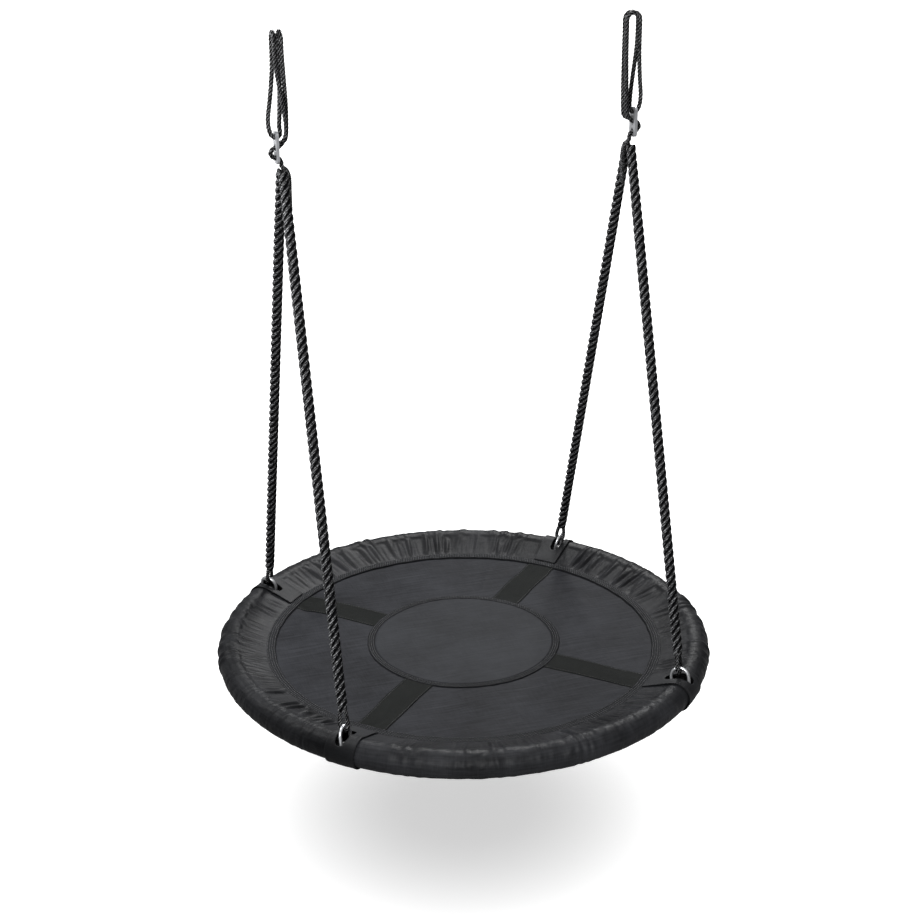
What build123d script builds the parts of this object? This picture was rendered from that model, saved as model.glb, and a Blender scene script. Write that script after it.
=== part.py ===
from build123d import *
from math import cos, sin, radians, degrees
import os

# Round nest swing: a padded steel ring with a stretched fabric mat, hung from four laid ropes
# that join in two pairs, each pair ending in a three-hole rope adjuster and a double hanging loop.
# Millimetres. +Z is up. Origin: centre of the mat's top face, which is also the ring's centre plane.
# +X points from the left hanger to the right hanger, -Y is the front.

os.makedirs("parts", exist_ok=True)

# ---- shared dimensions ----
SEAT_OUTER_R = 500.0              # outside of the padded rim
COVER_R = 26.0                    # outside radius of the covered rim section
RING_R = SEAT_OUTER_R - COVER_R   # centre line of the steel ring
HANG_HALF = RING_R * cos(radians(45))   # half spacing of the rope points, and of the two hangers
SCREW_DEG = 2.5                   # screw position past each tube joint
SEAM_Z = -1.2                     # height of the seams between rim fabric and mat

CORNERS = {"front_left": 225.0, "front_right": 315.0, "back_right": 45.0, "back_left": 135.0}
QUADRANTS = {"front": 270.0, "right": 0.0, "back": 90.0, "left": 180.0}
SIDES = {"left": -1.0, "right": 1.0}    # direction of outward along X
ENDS = {"front": -1.0, "back": 1.0}     # direction along Y


def deg_at(length):
    """Angle that an arc length takes on the ring."""
    return degrees(length / RING_R)


def radial_plane(angle):
    """Upright plane through the Z axis: local X is radial, local Y is up."""
    a = radians(angle)
    return Plane(origin=(0, 0, 0), x_dir=(cos(a), sin(a), 0), z_dir=(sin(a), -cos(a), 0))


def level_plane(angle, z):
    """Level plane on the Z axis with local X pointing out along the angle."""
    a = radians(angle)
    return Plane(origin=(0, 0, z), x_dir=(cos(a), sin(a), 0), z_dir=(0, 0, 1))


def save(name, part):
    part.label = name
    export_step(part, f"parts/{name}.step")


# ---------------------------------------------------------------- steel ring
TUBE_R = 12.5                 # 25 mm tube
TUBE_WALL = 1.5
TUBE_ARC = 89.5               # full-size part of each tube, degrees
PLUG_R = 10.8                 # swaged end that enters the next tube
PLUG_BORE_R = PLUG_R - TUBE_WALL
PLUG_DEG = 5.0                # swaged length past the joint, about 41 mm on the ring
PLUG_START = 89.6
COLLAR_START = 89.3           # solid step that ties the tube to its plug
COLLAR_ARC = 0.5
SCREW_HOLE_R = 3.2
DRILL_HALF = 30.0             # cross holes are cut this far above and below the ring

SCREW_R = 2.9
SCREW_BOTTOM_Z = -20.0
SHANK_LENGTH = 32.8
HEAD_R = 5.2
HEAD_Z = 12.7
HEAD_HEIGHT = 3.6
HEAD_FILLET = 1.4
SOCKET_R = 2.0
SOCKET_Z = 14.6               # floor of the hex socket
SOCKET_CUT = 4.0
NUT_R = 5.77                  # across corners, as a radius
NUT_BORE_R = 3.05
NUT_Z = -17.7
NUT_HEIGHT = 5.0


def rim_tube(start):
    """Bent tube with a swaged end for its neighbour and a cross hole near each joint."""
    # start past the tube's own start, arc, outer radius, bore radius
    sections = [
        (0.0, TUBE_ARC, TUBE_R, TUBE_R - TUBE_WALL),
        (COLLAR_START, COLLAR_ARC, TUBE_R, PLUG_BORE_R),
        (PLUG_START, 90.0 - PLUG_START + PLUG_DEG, PLUG_R, PLUG_BORE_R),
    ]
    with BuildPart() as tube:
        for offset, arc, outer, bore in sections:
            with BuildSketch(radial_plane(start + offset)):
                with Locations((RING_R, 0)):
                    Circle(outer)
                    Circle(bore, mode=Mode.SUBTRACT)
            revolve(axis=Axis.Z, revolution_arc=arc)
        for screw_at in (start + SCREW_DEG, start + 90 + SCREW_DEG):
            a = radians(screw_at)
            with BuildSketch(Plane.XY.offset(-DRILL_HALF)):
                with Locations((RING_R * cos(a), RING_R * sin(a))):
                    Circle(SCREW_HOLE_R)
            extrude(amount=2 * DRILL_HALF, mode=Mode.SUBTRACT)
    return tube.part


def rim_tube_screws():
    """One socket screw down through each tube joint."""
    with BuildPart() as screws:
        with BuildSketch(Plane.XY.offset(SCREW_BOTTOM_Z)):
            with PolarLocations(RING_R, 4, start_angle=SCREW_DEG):
                Circle(SCREW_R)
        extrude(amount=SHANK_LENGTH)
        with BuildSketch(Plane.XY.offset(HEAD_Z)):
            with PolarLocations(RING_R, 4, start_angle=SCREW_DEG):
                Circle(HEAD_R)
        extrude(amount=HEAD_HEIGHT)
        # the four highest faces are the head tops
        fillet(screws.faces().sort_by(Axis.Z)[-4:].edges(), HEAD_FILLET)
        with BuildSketch(Plane.XY.offset(SOCKET_Z)):
            with PolarLocations(RING_R, 4, start_angle=SCREW_DEG):
                RegularPolygon(SOCKET_R, 6)
        extrude(amount=SOCKET_CUT, mode=Mode.SUBTRACT)
    return screws.part


def rim_tube_nuts():
    with BuildPart() as nuts:
        with BuildSketch(Plane.XY.offset(NUT_Z)):
            with PolarLocations(RING_R, 4, start_angle=SCREW_DEG):
                RegularPolygon(NUT_R, 6)
                Circle(NUT_BORE_R, mode=Mode.SUBTRACT)
        extrude(amount=NUT_HEIGHT)
    return nuts.part


for corner, angle in CORNERS.items():
    save(f"rim_tube_{corner}", rim_tube(angle - 45.0))
save("rim_tube_screws", rim_tube_screws())
save("rim_tube_nuts", rim_tube_nuts())

# ---------------------------------------------------------------- foam sleeves
FOAM_R = 24.5
FOAM_BORE_R = 12.7
FOAM_GAP = deg_at(26.0)       # half opening at each rope point
FOAM_SCREW_GAP = 1.5          # degrees kept clear each side of a screw


def foam_sleeve(start, end):
    with BuildPart() as foam:
        with BuildSketch(radial_plane(start)):
            with Locations((RING_R, 0)):
                Circle(FOAM_R)
                Circle(FOAM_BORE_R, mode=Mode.SUBTRACT)
        revolve(axis=Axis.Z, revolution_arc=end - start)
    return foam.part


# Two sleeves on every steel segment, one each side of its rope point.
for corner, angle in CORNERS.items():
    first_screw = angle - 45.0 + SCREW_DEG
    next_screw = angle + 45.0 + SCREW_DEG
    save(f"foam_{corner}_a", foam_sleeve(first_screw + FOAM_SCREW_GAP, angle - FOAM_GAP))
    save(f"foam_{corner}_b", foam_sleeve(angle + FOAM_GAP, next_screw - FOAM_SCREW_GAP))

# ---------------------------------------------------------------- fabric
COVER_THICK = 1.2
COVER_GAP = deg_at(24.0)      # half opening of the cover at each rope point
SEAM_R = 402.0                # where the rim cover meets the mat
SEAM_ROUND_R = 1.6            # cover section at the seam, outside
SEAM_HOLLOW_R = 0.7           # and inside
SEAM_HOLLOW_SHIFT = 2.6       # the hollow ends this far outward of the seam

MAT_R = 397.0
PANEL_INNER_R = 176.0
PANEL_TOP = -1.4
PANEL_THICK = 1.0
PANEL_ARC = 89.9

DISC_R = 182.0
FLAT_RINGS = {                # underside z, thickness, outer radius, inner radius
    "rim_binding": (1.6, 1.2, 404.0, 385.0),
    "centre_binding": (-0.1, 1.0, 197.0, DISC_R + 0.3),
    "centre_disc": (-1.2, 1.2, DISC_R, None),
}

CROSS_STRAP_MID_R = 293.0
CROSS_STRAP_LENGTH = 206.0
CROSS_STRAP_W = 62.0
CROSS_STRAP_Z = -1.2
CROSS_STRAP_THICK = 1.0

ROPE_STRAP_R = 29.5           # outside of the strap that holds each rope point
ROPE_STRAP_THICK = 1.8
ROPE_STRAP_HALF = deg_at(60.0 / 2)
ROPE_STRAP_SEAM_R = 408.0     # place of the band's rounded inner end
ROPE_STRAP_END_R = 6.4        # outside radius of that end
STRAP_OPENING_R = 398.0       # middle of the block that opens the band's inner end
STRAP_OPENING = (20.0, 40.0)  # radial, vertical
LINK_SLOT = (64.0, 27.0)      # radial, along the rim
LINK_SLOT_SHIFT = 5.5         # slot centre, inward of the ring
LINK_SLOT_Z = 4.0
LINK_SLOT_CUT = 40.0


def rim_cover(angle):
    """Closed fabric sleeve, round over the foam and tapering to its seam with the mat."""
    with BuildPart() as cover:
        with BuildSketch(radial_plane(angle - 45.0 + COVER_GAP)):
            with BuildSketch(mode=Mode.PRIVATE) as outside:
                with Locations((RING_R, 0)):
                    Circle(COVER_R)
                with Locations((SEAM_R, SEAM_Z)):
                    Circle(SEAM_ROUND_R)
                make_hull()
            with BuildSketch(mode=Mode.PRIVATE) as inside:
                with Locations((RING_R, 0)):
                    Circle(COVER_R - COVER_THICK)
                with Locations((SEAM_R + SEAM_HOLLOW_SHIFT, SEAM_Z)):
                    Circle(SEAM_HOLLOW_R)
                make_hull()
            add(outside.sketch)
            add(inside.sketch, mode=Mode.SUBTRACT)
        revolve(axis=Axis.Z, revolution_arc=90.0 - 2 * COVER_GAP)
    return cover.part


def mat_panel(angle):
    with BuildPart() as panel:
        with BuildSketch(radial_plane(angle - PANEL_ARC / 2)):
            with Locations(((MAT_R + PANEL_INNER_R) / 2, PANEL_TOP - PANEL_THICK / 2)):
                Rectangle(MAT_R - PANEL_INNER_R, PANEL_THICK)
        revolve(axis=Axis.Z, revolution_arc=PANEL_ARC)
    return panel.part


def flat_ring(bottom, thickness, outer, inner):
    with BuildPart() as ring:
        with BuildSketch(Plane.XY.offset(bottom)):
            Circle(outer)
            if inner is not None:
                Circle(inner, mode=Mode.SUBTRACT)
        extrude(amount=thickness)
    return ring.part


def cross_strap(angle):
    with BuildPart() as strap:
        with BuildSketch(level_plane(angle, CROSS_STRAP_Z)):
            with Locations((CROSS_STRAP_MID_R, 0)):
                Rectangle(CROSS_STRAP_LENGTH, CROSS_STRAP_W)
        extrude(amount=CROSS_STRAP_THICK)
    return strap.part


def rope_strap(angle):
    """C-shaped band over the rim, open at its inner end, with a slot for the steel link."""
    with BuildPart() as strap:
        with BuildSketch(radial_plane(angle - ROPE_STRAP_HALF)):
            with BuildSketch(mode=Mode.PRIVATE) as outside:
                with Locations((RING_R, 0)):
                    Circle(ROPE_STRAP_R)
                with Locations((ROPE_STRAP_SEAM_R, SEAM_Z)):
                    Circle(ROPE_STRAP_END_R)
                make_hull()
            with BuildSketch(mode=Mode.PRIVATE) as inside:
                with Locations((RING_R, 0)):
                    Circle(ROPE_STRAP_R - ROPE_STRAP_THICK)
                with Locations((ROPE_STRAP_SEAM_R, SEAM_Z)):
                    Circle(ROPE_STRAP_END_R - ROPE_STRAP_THICK)
                make_hull()
            add(outside.sketch)
            add(inside.sketch, mode=Mode.SUBTRACT)
            with Locations((STRAP_OPENING_R, 0)):
                Rectangle(*STRAP_OPENING, mode=Mode.SUBTRACT)
        revolve(axis=Axis.Z, revolution_arc=2 * ROPE_STRAP_HALF)
        with BuildSketch(level_plane(angle, LINK_SLOT_Z)):
            with Locations((RING_R - LINK_SLOT_SHIFT, 0)):
                SlotOverall(*LINK_SLOT)
        extrude(amount=LINK_SLOT_CUT, mode=Mode.SUBTRACT)
    return strap.part


for quadrant, angle in QUADRANTS.items():
    save(f"rim_cover_{quadrant}", rim_cover(angle))
    save(f"mat_panel_{quadrant}", mat_panel(angle))
for name, sizes in FLAT_RINGS.items():
    save(name, flat_ring(*sizes))
for corner, angle in CORNERS.items():
    save(f"cross_strap_{corner}", cross_strap(angle))
    save(f"rope_strap_{corner}", rope_strap(angle))

# ---------------------------------------------------------------- thick ropes and links
THICK_ROPE_R = 9.5
LEG_TOP_Z = 1000.0            # cut ends of the four thick ropes
LEG_TOP_Y = 9.6
LINK_WIRE_R = 3.0
LINK_INNER_R = 15.0
LINK_STRAIGHT = 27.0
LINK_MID_R = LINK_INNER_R + LINK_WIRE_R      # wire centre line
LINK_TOP = LINK_STRAIGHT + LINK_MID_R        # height of the wire inside the eye
EYE_ROPE_R = 4.4
EYE_HALF = LINK_WIRE_R + EYE_ROPE_R + 0.6    # eye bend radius, with clearance to the wire
# One side of the eye, upwards: distance from the rope's axis, height along the rope.
EYE_SIDE = [
    (EYE_HALF, LINK_TOP),
    (EYE_HALF, LINK_TOP + 8),
    (6.4, LINK_TOP + 24),
    (EYE_ROPE_R, LINK_TOP + 43),
]
CONE_START = LINK_TOP + 30    # flared start of the thick rope
CONE_LENGTH = 8.0
CONE_START_R = THICK_ROPE_R - 1.6
CONE_TAPER = -11.0


def leg_frame(outward, end):
    """Rope point, direction along the rim, direction up the rope, and rope length."""
    foot = Vector(outward * HANG_HALF, end * HANG_HALF, 0)
    head = Vector(outward * HANG_HALF, end * LEG_TOP_Y, LEG_TOP_Z)
    up = (head - foot).normalized()
    tangent = Vector(-foot.Y, foot.X, 0).normalized()
    along_rim = (tangent - up * tangent.dot(up)).normalized()
    return foot, along_rim, up, (head - foot).length


def steel_link(foot, along_rim, up):
    """Oval wire link round the rim, in the plane square to it."""
    wide = up.cross(along_rim)
    radius = LINK_MID_R
    top = LINK_STRAIGHT
    with BuildPart() as link:
        with BuildLine(Plane(origin=foot, x_dir=wide, z_dir=wide.cross(up))) as oval:
            ThreePointArc((-radius, 0), (0, -radius), (radius, 0))
            Line((radius, 0), (radius, top))
            ThreePointArc((radius, top), (0, top + radius), (-radius, top))
            Line((-radius, top), (-radius, 0))
        with BuildSketch(Plane(origin=oval.line @ 0, z_dir=oval.line % 0)):
            Circle(LINK_WIRE_R)
        sweep()
    return link.part


def thick_rope(foot, along_rim, up, length):
    """Straight rope with a spliced eye round the top of its link."""

    def on_leg(x, y):
        """x along the rim, y along the rope, from the rope point."""
        return foot + along_rim * x + up * y

    down_side = [on_leg(-x, y) for x, y in reversed(EYE_SIDE)]
    up_side = [on_leg(x, y) for x, y in EYE_SIDE]
    with BuildPart() as leg:
        with BuildLine():
            Spline(*down_side, tangents=(up * -1, up * -1))
            ThreePointArc(down_side[-1], on_leg(0, LINK_TOP - EYE_HALF), up_side[0])
            Spline(*up_side, tangents=(up, up))
        with BuildSketch(Plane(origin=down_side[0], z_dir=up * -1)):
            Circle(EYE_ROPE_R)
        sweep()
        with BuildSketch(Plane(origin=on_leg(0, CONE_START), z_dir=up)):
            Circle(CONE_START_R)
        extrude(amount=CONE_LENGTH, taper=CONE_TAPER)
        with BuildSketch(Plane(origin=on_leg(0, CONE_START + CONE_LENGTH), z_dir=up)):
            Circle(THICK_ROPE_R)
        extrude(amount=length - CONE_START - CONE_LENGTH)
    return leg.part


for side, outward in SIDES.items():
    for end_name, end in ENDS.items():
        foot, along_rim, up, length = leg_frame(outward, end)
        save(f"{side}_{end_name}_link", steel_link(foot, along_rim, up))
        save(f"{side}_{end_name}_rope", thick_rope(foot, along_rim, up, length))

# ---------------------------------------------------------------- hangers
THIN_ROPE_R = 4.5
TIP_R = 4.2                   # ball on top of each shoulder
PLATE_OUT = 8.0               # adjuster plate, outward of the hanger line
PLATE_H = 57.0
PLATE_W = 28.0
PLATE_T = 5.0
PLATE_CORNER_R = 9.0
PLATE_Z = LEG_TOP_Z + 44.0
HOLE_PITCH = 19.0
HOLE_R = 6.4
HOLE_FILLET = 0.7
CROWN_R = 13.0                # loop bend radius over a hanging hook
CROWN_Z = 1232.5              # swing axis
SWAY_Z = 1210.5               # sway axis
SHOULDER_Z = SWAY_Z + 8.8     # lower ends of the shoulders
PULL_ROPE_END = 0.965         # fraction of the pull rope's line that is kept
STRAND_START = 0.012          # fraction cut from a strand that continues a bight

# Thin rope centre lines, in (outward, y, z) of a hanger.
LOWER_BIGHT = [
    (0.4, 0, 1011.5), (0.4, 0, 1016.0), (3.0, 0, 1022.6), (8, 0, 1025), (14.5, 0, 1026.8),
    (19.2, 0, 1034.5), (14.5, 0, 1042.2), (8, 0, 1044), (2.5, -0.6, 1046.6), (-3.2, -2.2, 1053),
]
UPPER_BIGHT = [
    (21.0, 0, 1091.5), (19.6, 0, 1076), (15, 0, 1065.2), (8, 0, 1062.2), (2.6, 0.4, 1063.8),
    (-0.1, 2.0, 1070.5), (0.6, 3.2, 1080),
]
PULL_ROPE = [
    (-12.3, 0, 930), (-12.3, 0, 960), (-12.3, 0, 990), (-8.2, 0, 1002.2), (-1.0, 0, 1008.6),
    LOWER_BIGHT[0],
]
BIGHT_ENDS = (LOWER_BIGHT[-1], UPPER_BIGHT[0], UPPER_BIGHT[-1])

# Four strands per hanger, upwards: the first two make loop a, the last two loop b.
STRANDS = {
    "left": [
        [BIGHT_ENDS[0], (-8.0, -4.4, 1063), (-9.8, -6.2, 1080), (-5, -9.0, 1120),
         (3.5, -12.2, 1175), (6, -13, SWAY_Z)],
        [BIGHT_ENDS[1], (19.5, 2, 1103), (14, 7.5, 1130), (7.5, 12.2, 1175), (6, 13, SWAY_Z)],
        [BIGHT_ENDS[2], (-1.5, 5.5, 1105), (-5.2, 11.5, 1160), (-6, 13, SWAY_Z)],
        [(-11.6, 5.6, 1066), (-12.6, 4.6, 1085), (-11.9, -0.6, 1120), (-7.8, -10.6, 1175),
         (-6, -13, SWAY_Z)],
    ],
    "right": [
        [BIGHT_ENDS[0], (-8.0, -4.4, 1063), (-10.2, -6.0, 1080), (-11.5, -6.2, 1120),
         (-12.8, -5.4, 1175), (-13, -5.2, SWAY_Z)],
        [BIGHT_ENDS[1], (20.0, -0.8, 1103), (16.5, -3, 1130), (13.3, -5.0, 1175),
         (13, -5.2, SWAY_Z)],
        [BIGHT_ENDS[2], (3.4, 4.6, 1110), (9.2, 5.4, 1155), (12.2, 5.3, 1185),
         (13, 5.2, SWAY_Z)],
        [(-11.2, 6.0, 1066), (-12.2, 5.8, 1085), (-13.0, 5.3, 1120), (-13.2, 5.2, 1175),
         (-13, 5.2, SWAY_Z)],
    ],
}

# Crowns: step from hanger line to each loop (outward, y), bend plane's x and z, half span in degrees.
# The left loops bend front to back, the right ones side to side.
CROWNS = {
    "left": ((6.0, 0), (0, 1, 0), (1, 0, 0), 25.0),
    "right": ((0, 5.2), (1, 0, 0), (0, -1, 0), 45.0),
}


def place(outward, point):
    """(outward, y, z) on a hanger to the swing's own frame."""
    return Vector(outward * (HANG_HALF + point[0]), point[1], point[2])


def thin_rope(outward, points, start=0.0, end=1.0):
    """Round rope along a smooth line, optionally cut back at either end."""
    with BuildPart() as body:
        with BuildLine(mode=Mode.PRIVATE):
            run = Spline(*[place(outward, point) for point in points])
        if (start, end) != (0.0, 1.0):
            run = run.trim(start, end)
        with BuildLine():
            add(run)
        with BuildSketch(Plane(origin=run @ 0, z_dir=run % 0)):
            Circle(THIN_ROPE_R)
        sweep()
    return body.part


def adjuster_plate(outward):
    """Upright plate facing outward, with three rope holes in a column."""
    origin = place(outward, (PLATE_OUT - PLATE_T / 2, 0, PLATE_Z))
    with BuildPart() as plate:
        with BuildSketch(Plane(origin=origin, x_dir=(0, 1, 0), z_dir=(outward, 0, 0))):
            RectangleRounded(PLATE_W, PLATE_H, PLATE_CORNER_R)
            with GridLocations(0, HOLE_PITCH, 1, 3):
                Circle(HOLE_R, mode=Mode.SUBTRACT)
        extrude(amount=PLATE_T)
        round_edges = plate.edges().filter_by(GeomType.CIRCLE)
        fillet(round_edges.filter_by(lambda e: abs(e.radius - HOLE_R) < 0.01), HOLE_FILLET)
    return plate.part


def strand_pair(outward, strands):
    with BuildPart() as pair:
        for points in strands:
            start = STRAND_START if points[0] in BIGHT_ENDS else 0.0
            add(thin_rope(outward, points, start=start))
    return pair.part


def loop_shoulders(outward, strands):
    """Short upright lengths above the strands, each with a ball on top."""
    with BuildPart() as shoulders:
        for points in strands:
            out, y, _ = points[-1]
            with BuildSketch(Plane(origin=place(outward, (out, y, SHOULDER_Z)))):
                Circle(THIN_ROPE_R)
            extrude(amount=CROWN_Z - SHOULDER_Z)
            with Locations(place(outward, (out, y, CROWN_Z))):
                Sphere(TIP_R)
    return shoulders.part


def loop_crowns(outward, step, x_dir, z_dir, half_span):
    """The two loop tops that lie over the hook."""
    with BuildPart() as crowns:
        for k in (-1.0, 1.0):
            centre = place(outward, (k * step[0], k * step[1], CROWN_Z))
            with BuildLine(Plane(origin=centre, x_dir=x_dir, z_dir=z_dir)) as arc:
                CenterArc((0, 0), CROWN_R, 90 - half_span, 2 * half_span)
            with BuildSketch(Plane(origin=arc.line @ 0, z_dir=arc.line % 0)):
                Circle(THIN_ROPE_R)
            sweep()
    return crowns.part


for side, outward in SIDES.items():
    strands = STRANDS[side]
    save(f"{side}_pull_rope", thin_rope(outward, PULL_ROPE, end=PULL_ROPE_END))
    save(f"{side}_adjuster_plate", adjuster_plate(outward))
    save(f"{side}_lower_bight", thin_rope(outward, LOWER_BIGHT))
    save(f"{side}_upper_bight", thin_rope(outward, UPPER_BIGHT))
    save(f"{side}_loop_a_strands", strand_pair(outward, strands[:2]))
    save(f"{side}_loop_b_strands", strand_pair(outward, strands[2:]))
    save(f"{side}_loop_shoulders", loop_shoulders(outward, strands))
    save(f"{side}_loop_crowns", loop_crowns(outward, *CROWNS[side]))
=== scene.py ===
"""Looks of a round nest swing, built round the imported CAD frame.

The seat ring lies flat round the Z axis with its middle at z = 0. Front is -Y, right is +X.
The ropes rise from the four diagonals of the ring and meet in a hanger on the left and the right.
Lengths are millimetres until make() turns them into metres; shader lengths are metres.
"""

import math
import bmesh
import bpy
import numpy as np
from mathutils import Matrix, Vector


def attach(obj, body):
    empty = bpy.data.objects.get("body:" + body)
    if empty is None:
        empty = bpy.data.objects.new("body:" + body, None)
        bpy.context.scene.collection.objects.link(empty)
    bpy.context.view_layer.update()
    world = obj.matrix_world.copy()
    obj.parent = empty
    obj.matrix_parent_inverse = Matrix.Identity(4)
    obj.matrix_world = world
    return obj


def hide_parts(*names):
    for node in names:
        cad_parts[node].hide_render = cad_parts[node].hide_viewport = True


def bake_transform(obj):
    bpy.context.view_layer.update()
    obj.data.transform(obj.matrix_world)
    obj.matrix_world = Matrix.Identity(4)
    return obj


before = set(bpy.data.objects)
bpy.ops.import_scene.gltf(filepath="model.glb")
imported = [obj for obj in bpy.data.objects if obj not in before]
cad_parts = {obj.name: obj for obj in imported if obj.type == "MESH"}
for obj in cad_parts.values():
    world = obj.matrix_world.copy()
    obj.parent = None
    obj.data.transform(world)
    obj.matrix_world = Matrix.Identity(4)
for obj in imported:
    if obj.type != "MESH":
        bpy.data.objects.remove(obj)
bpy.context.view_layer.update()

MM = 0.001
TAU = math.tau
RING_R = 474.0                                       # centre line of the rim
CORNER_XY = RING_R * math.cos(math.radians(45))      # x and y of a rope point
CORNERS = {"front_left": 225.0, "front_right": 315.0, "back_right": 45.0, "back_left": 135.0}
QUADS = {"front": 270.0, "right": 0.0, "back": 90.0, "left": 180.0}
SIDES = {"left": -1.0, "right": 1.0}


# ---------------------------------------------------------------- noise and easing
def waves(count, low, high, seed):
    """Seeded smooth noise of one angle, period a full turn, about -1..1."""
    random = np.random.default_rng(seed)
    turns = random.integers(low, high, count)
    phases = random.uniform(0, TAU, count)
    sizes = random.uniform(0.5, 1.0, count)
    sizes = sizes / math.sqrt((sizes * sizes).sum() / 2) / 1.6

    def noise(angle):
        return sum(size * np.sin(turn * angle + phase)
                   for size, turn, phase in zip(sizes, turns, phases))

    return noise


def field(count, low, high, seed):
    """Seeded smooth noise of x and y, wavelengths low..high, about -1..1."""
    random = np.random.default_rng(seed)
    lengths = random.uniform(low, high, count)
    headings = random.uniform(0, TAU, count)
    phases = random.uniform(0, TAU, count)
    size = 1.0 / math.sqrt(count / 2) / 1.6

    def noise(x, y):
        return sum(size * np.sin(TAU * (x * math.cos(heading) + y * math.sin(heading)) / length
                                 + phase)
                   for length, heading, phase in zip(lengths, headings, phases))

    return noise


def ease(value, start, end):
    """Smooth step from 0 at start to 1 at end."""
    part = np.clip((np.asarray(value, float) - start) / (end - start), 0, 1)
    return part * part * (3 - 2 * part)


def bell(value, middle, width):
    return np.exp(-((value - middle) / width) ** 2)


def path_length(points):
    """Distance travelled at each point of a line."""
    steps = np.linalg.norm(np.diff(points, axis=0), axis=1)
    return np.concatenate([[0], np.cumsum(steps)])


def unit_rows(vectors):
    return vectors / np.linalg.norm(vectors, axis=1)[:, None]


# ---------------------------------------------------------------- meshes
def grid(rows, columns, wrap=False):
    """Quads of a point grid, with the row and column of each corner (not wrapped)."""
    i, j = np.meshgrid(np.arange(rows - 1), np.arange(columns if wrap else columns - 1),
                       indexing="ij")
    row = np.stack([i, i, i + 1, i + 1], -1).reshape(-1, 4)
    column = np.stack([j, j + 1, j + 1, j], -1).reshape(-1, 4)
    return row * columns + column % columns, row, column


def ring_grid(rows, columns):
    """The same for a grid closed both ways, wound the other way round."""
    i, j = np.meshgrid(np.arange(rows), np.arange(columns), indexing="ij")
    row = np.stack([i, i + 1, i + 1, i], -1).reshape(-1, 4)
    column = np.stack([j, j, j + 1, j + 1], -1).reshape(-1, 4)
    return row % rows * columns + column % columns, row, column


def link_object(name, data):
    ob = bpy.data.objects.new(name, data)
    bpy.context.scene.collection.objects.link(ob)
    return ob


def shade_smooth(mesh):
    mesh.polygons.foreach_set("use_smooth", [True] * len(mesh.polygons))


def make(name, verts, faces, uv=None, material=None, smooth=True):
    """Mesh object from points in mm. uv: per face, one (u, v) in metres for each corner."""
    mesh = bpy.data.meshes.new(name)
    faces = [tuple(int(v) for v in face) for face in faces]
    mesh.from_pydata((np.asarray(verts, float) * MM).tolist(), [], faces)
    if uv is not None:
        flat = np.concatenate([np.asarray(corners, float).reshape(-1, 2) for corners in uv])
        layer = mesh.uv_layers.new(name="UVMap")
        layer.data.foreach_set("uv", flat.ravel())
    mesh.update()
    if smooth:
        shade_smooth(mesh)
    ob = link_object(name, mesh)
    if material is not None:
        mesh.materials.append(material)
    return ob


def slab(name, top, low, shape, uv, material, turned=False):
    """Closed sheet between two point grids of one shape. turned: wound the other way round."""
    rows, columns = shape
    count = rows * columns
    quads = grid(rows, columns)[0]
    outline = ([i * columns for i in range(rows)]
               + [(rows - 1) * columns + j for j in range(1, columns)]
               + [i * columns + columns - 1 for i in range(rows - 2, -1, -1)]
               + list(range(columns - 2, 0, -1)))
    edges = list(zip(outline, outline[1:] + outline[:1]))
    if turned:
        quads = quads[:, ::-1]
        edges = [(b, a) for a, b in edges]
    sides = [(a + count, b + count, b, a) for a, b in edges]
    faces = np.vstack([quads[:, ::-1], quads + count, sides])
    return make(name, np.vstack([top, low]), faces, uv[faces % count], material)


def add_solidify(ob, thickness):
    """Thickness in metres, added on the inner side."""
    modifier = ob.modifiers.new("thickness", "SOLIDIFY")
    modifier.thickness = thickness
    modifier.offset = -1.0


def add_subdivision(ob):
    modifier = ob.modifiers.new("subdivision", "SUBSURF")
    modifier.levels = modifier.render_levels = 1


def apply_modifiers(ob):
    """Replaces the mesh by its evaluated copy and drops the modifiers."""
    depsgraph = bpy.context.evaluated_depsgraph_get()
    mesh = bpy.data.meshes.new_from_object(ob.evaluated_get(depsgraph), depsgraph=depsgraph)
    ob.modifiers.clear()
    ob.data = mesh
    shade_smooth(mesh)


def discard(ob):
    mesh = ob.data
    bpy.data.objects.remove(ob)
    bpy.data.meshes.remove(mesh)


def assign(ob, body, slot, *replaced):
    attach(ob, body)
    if replaced:
        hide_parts(*replaced)


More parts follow.
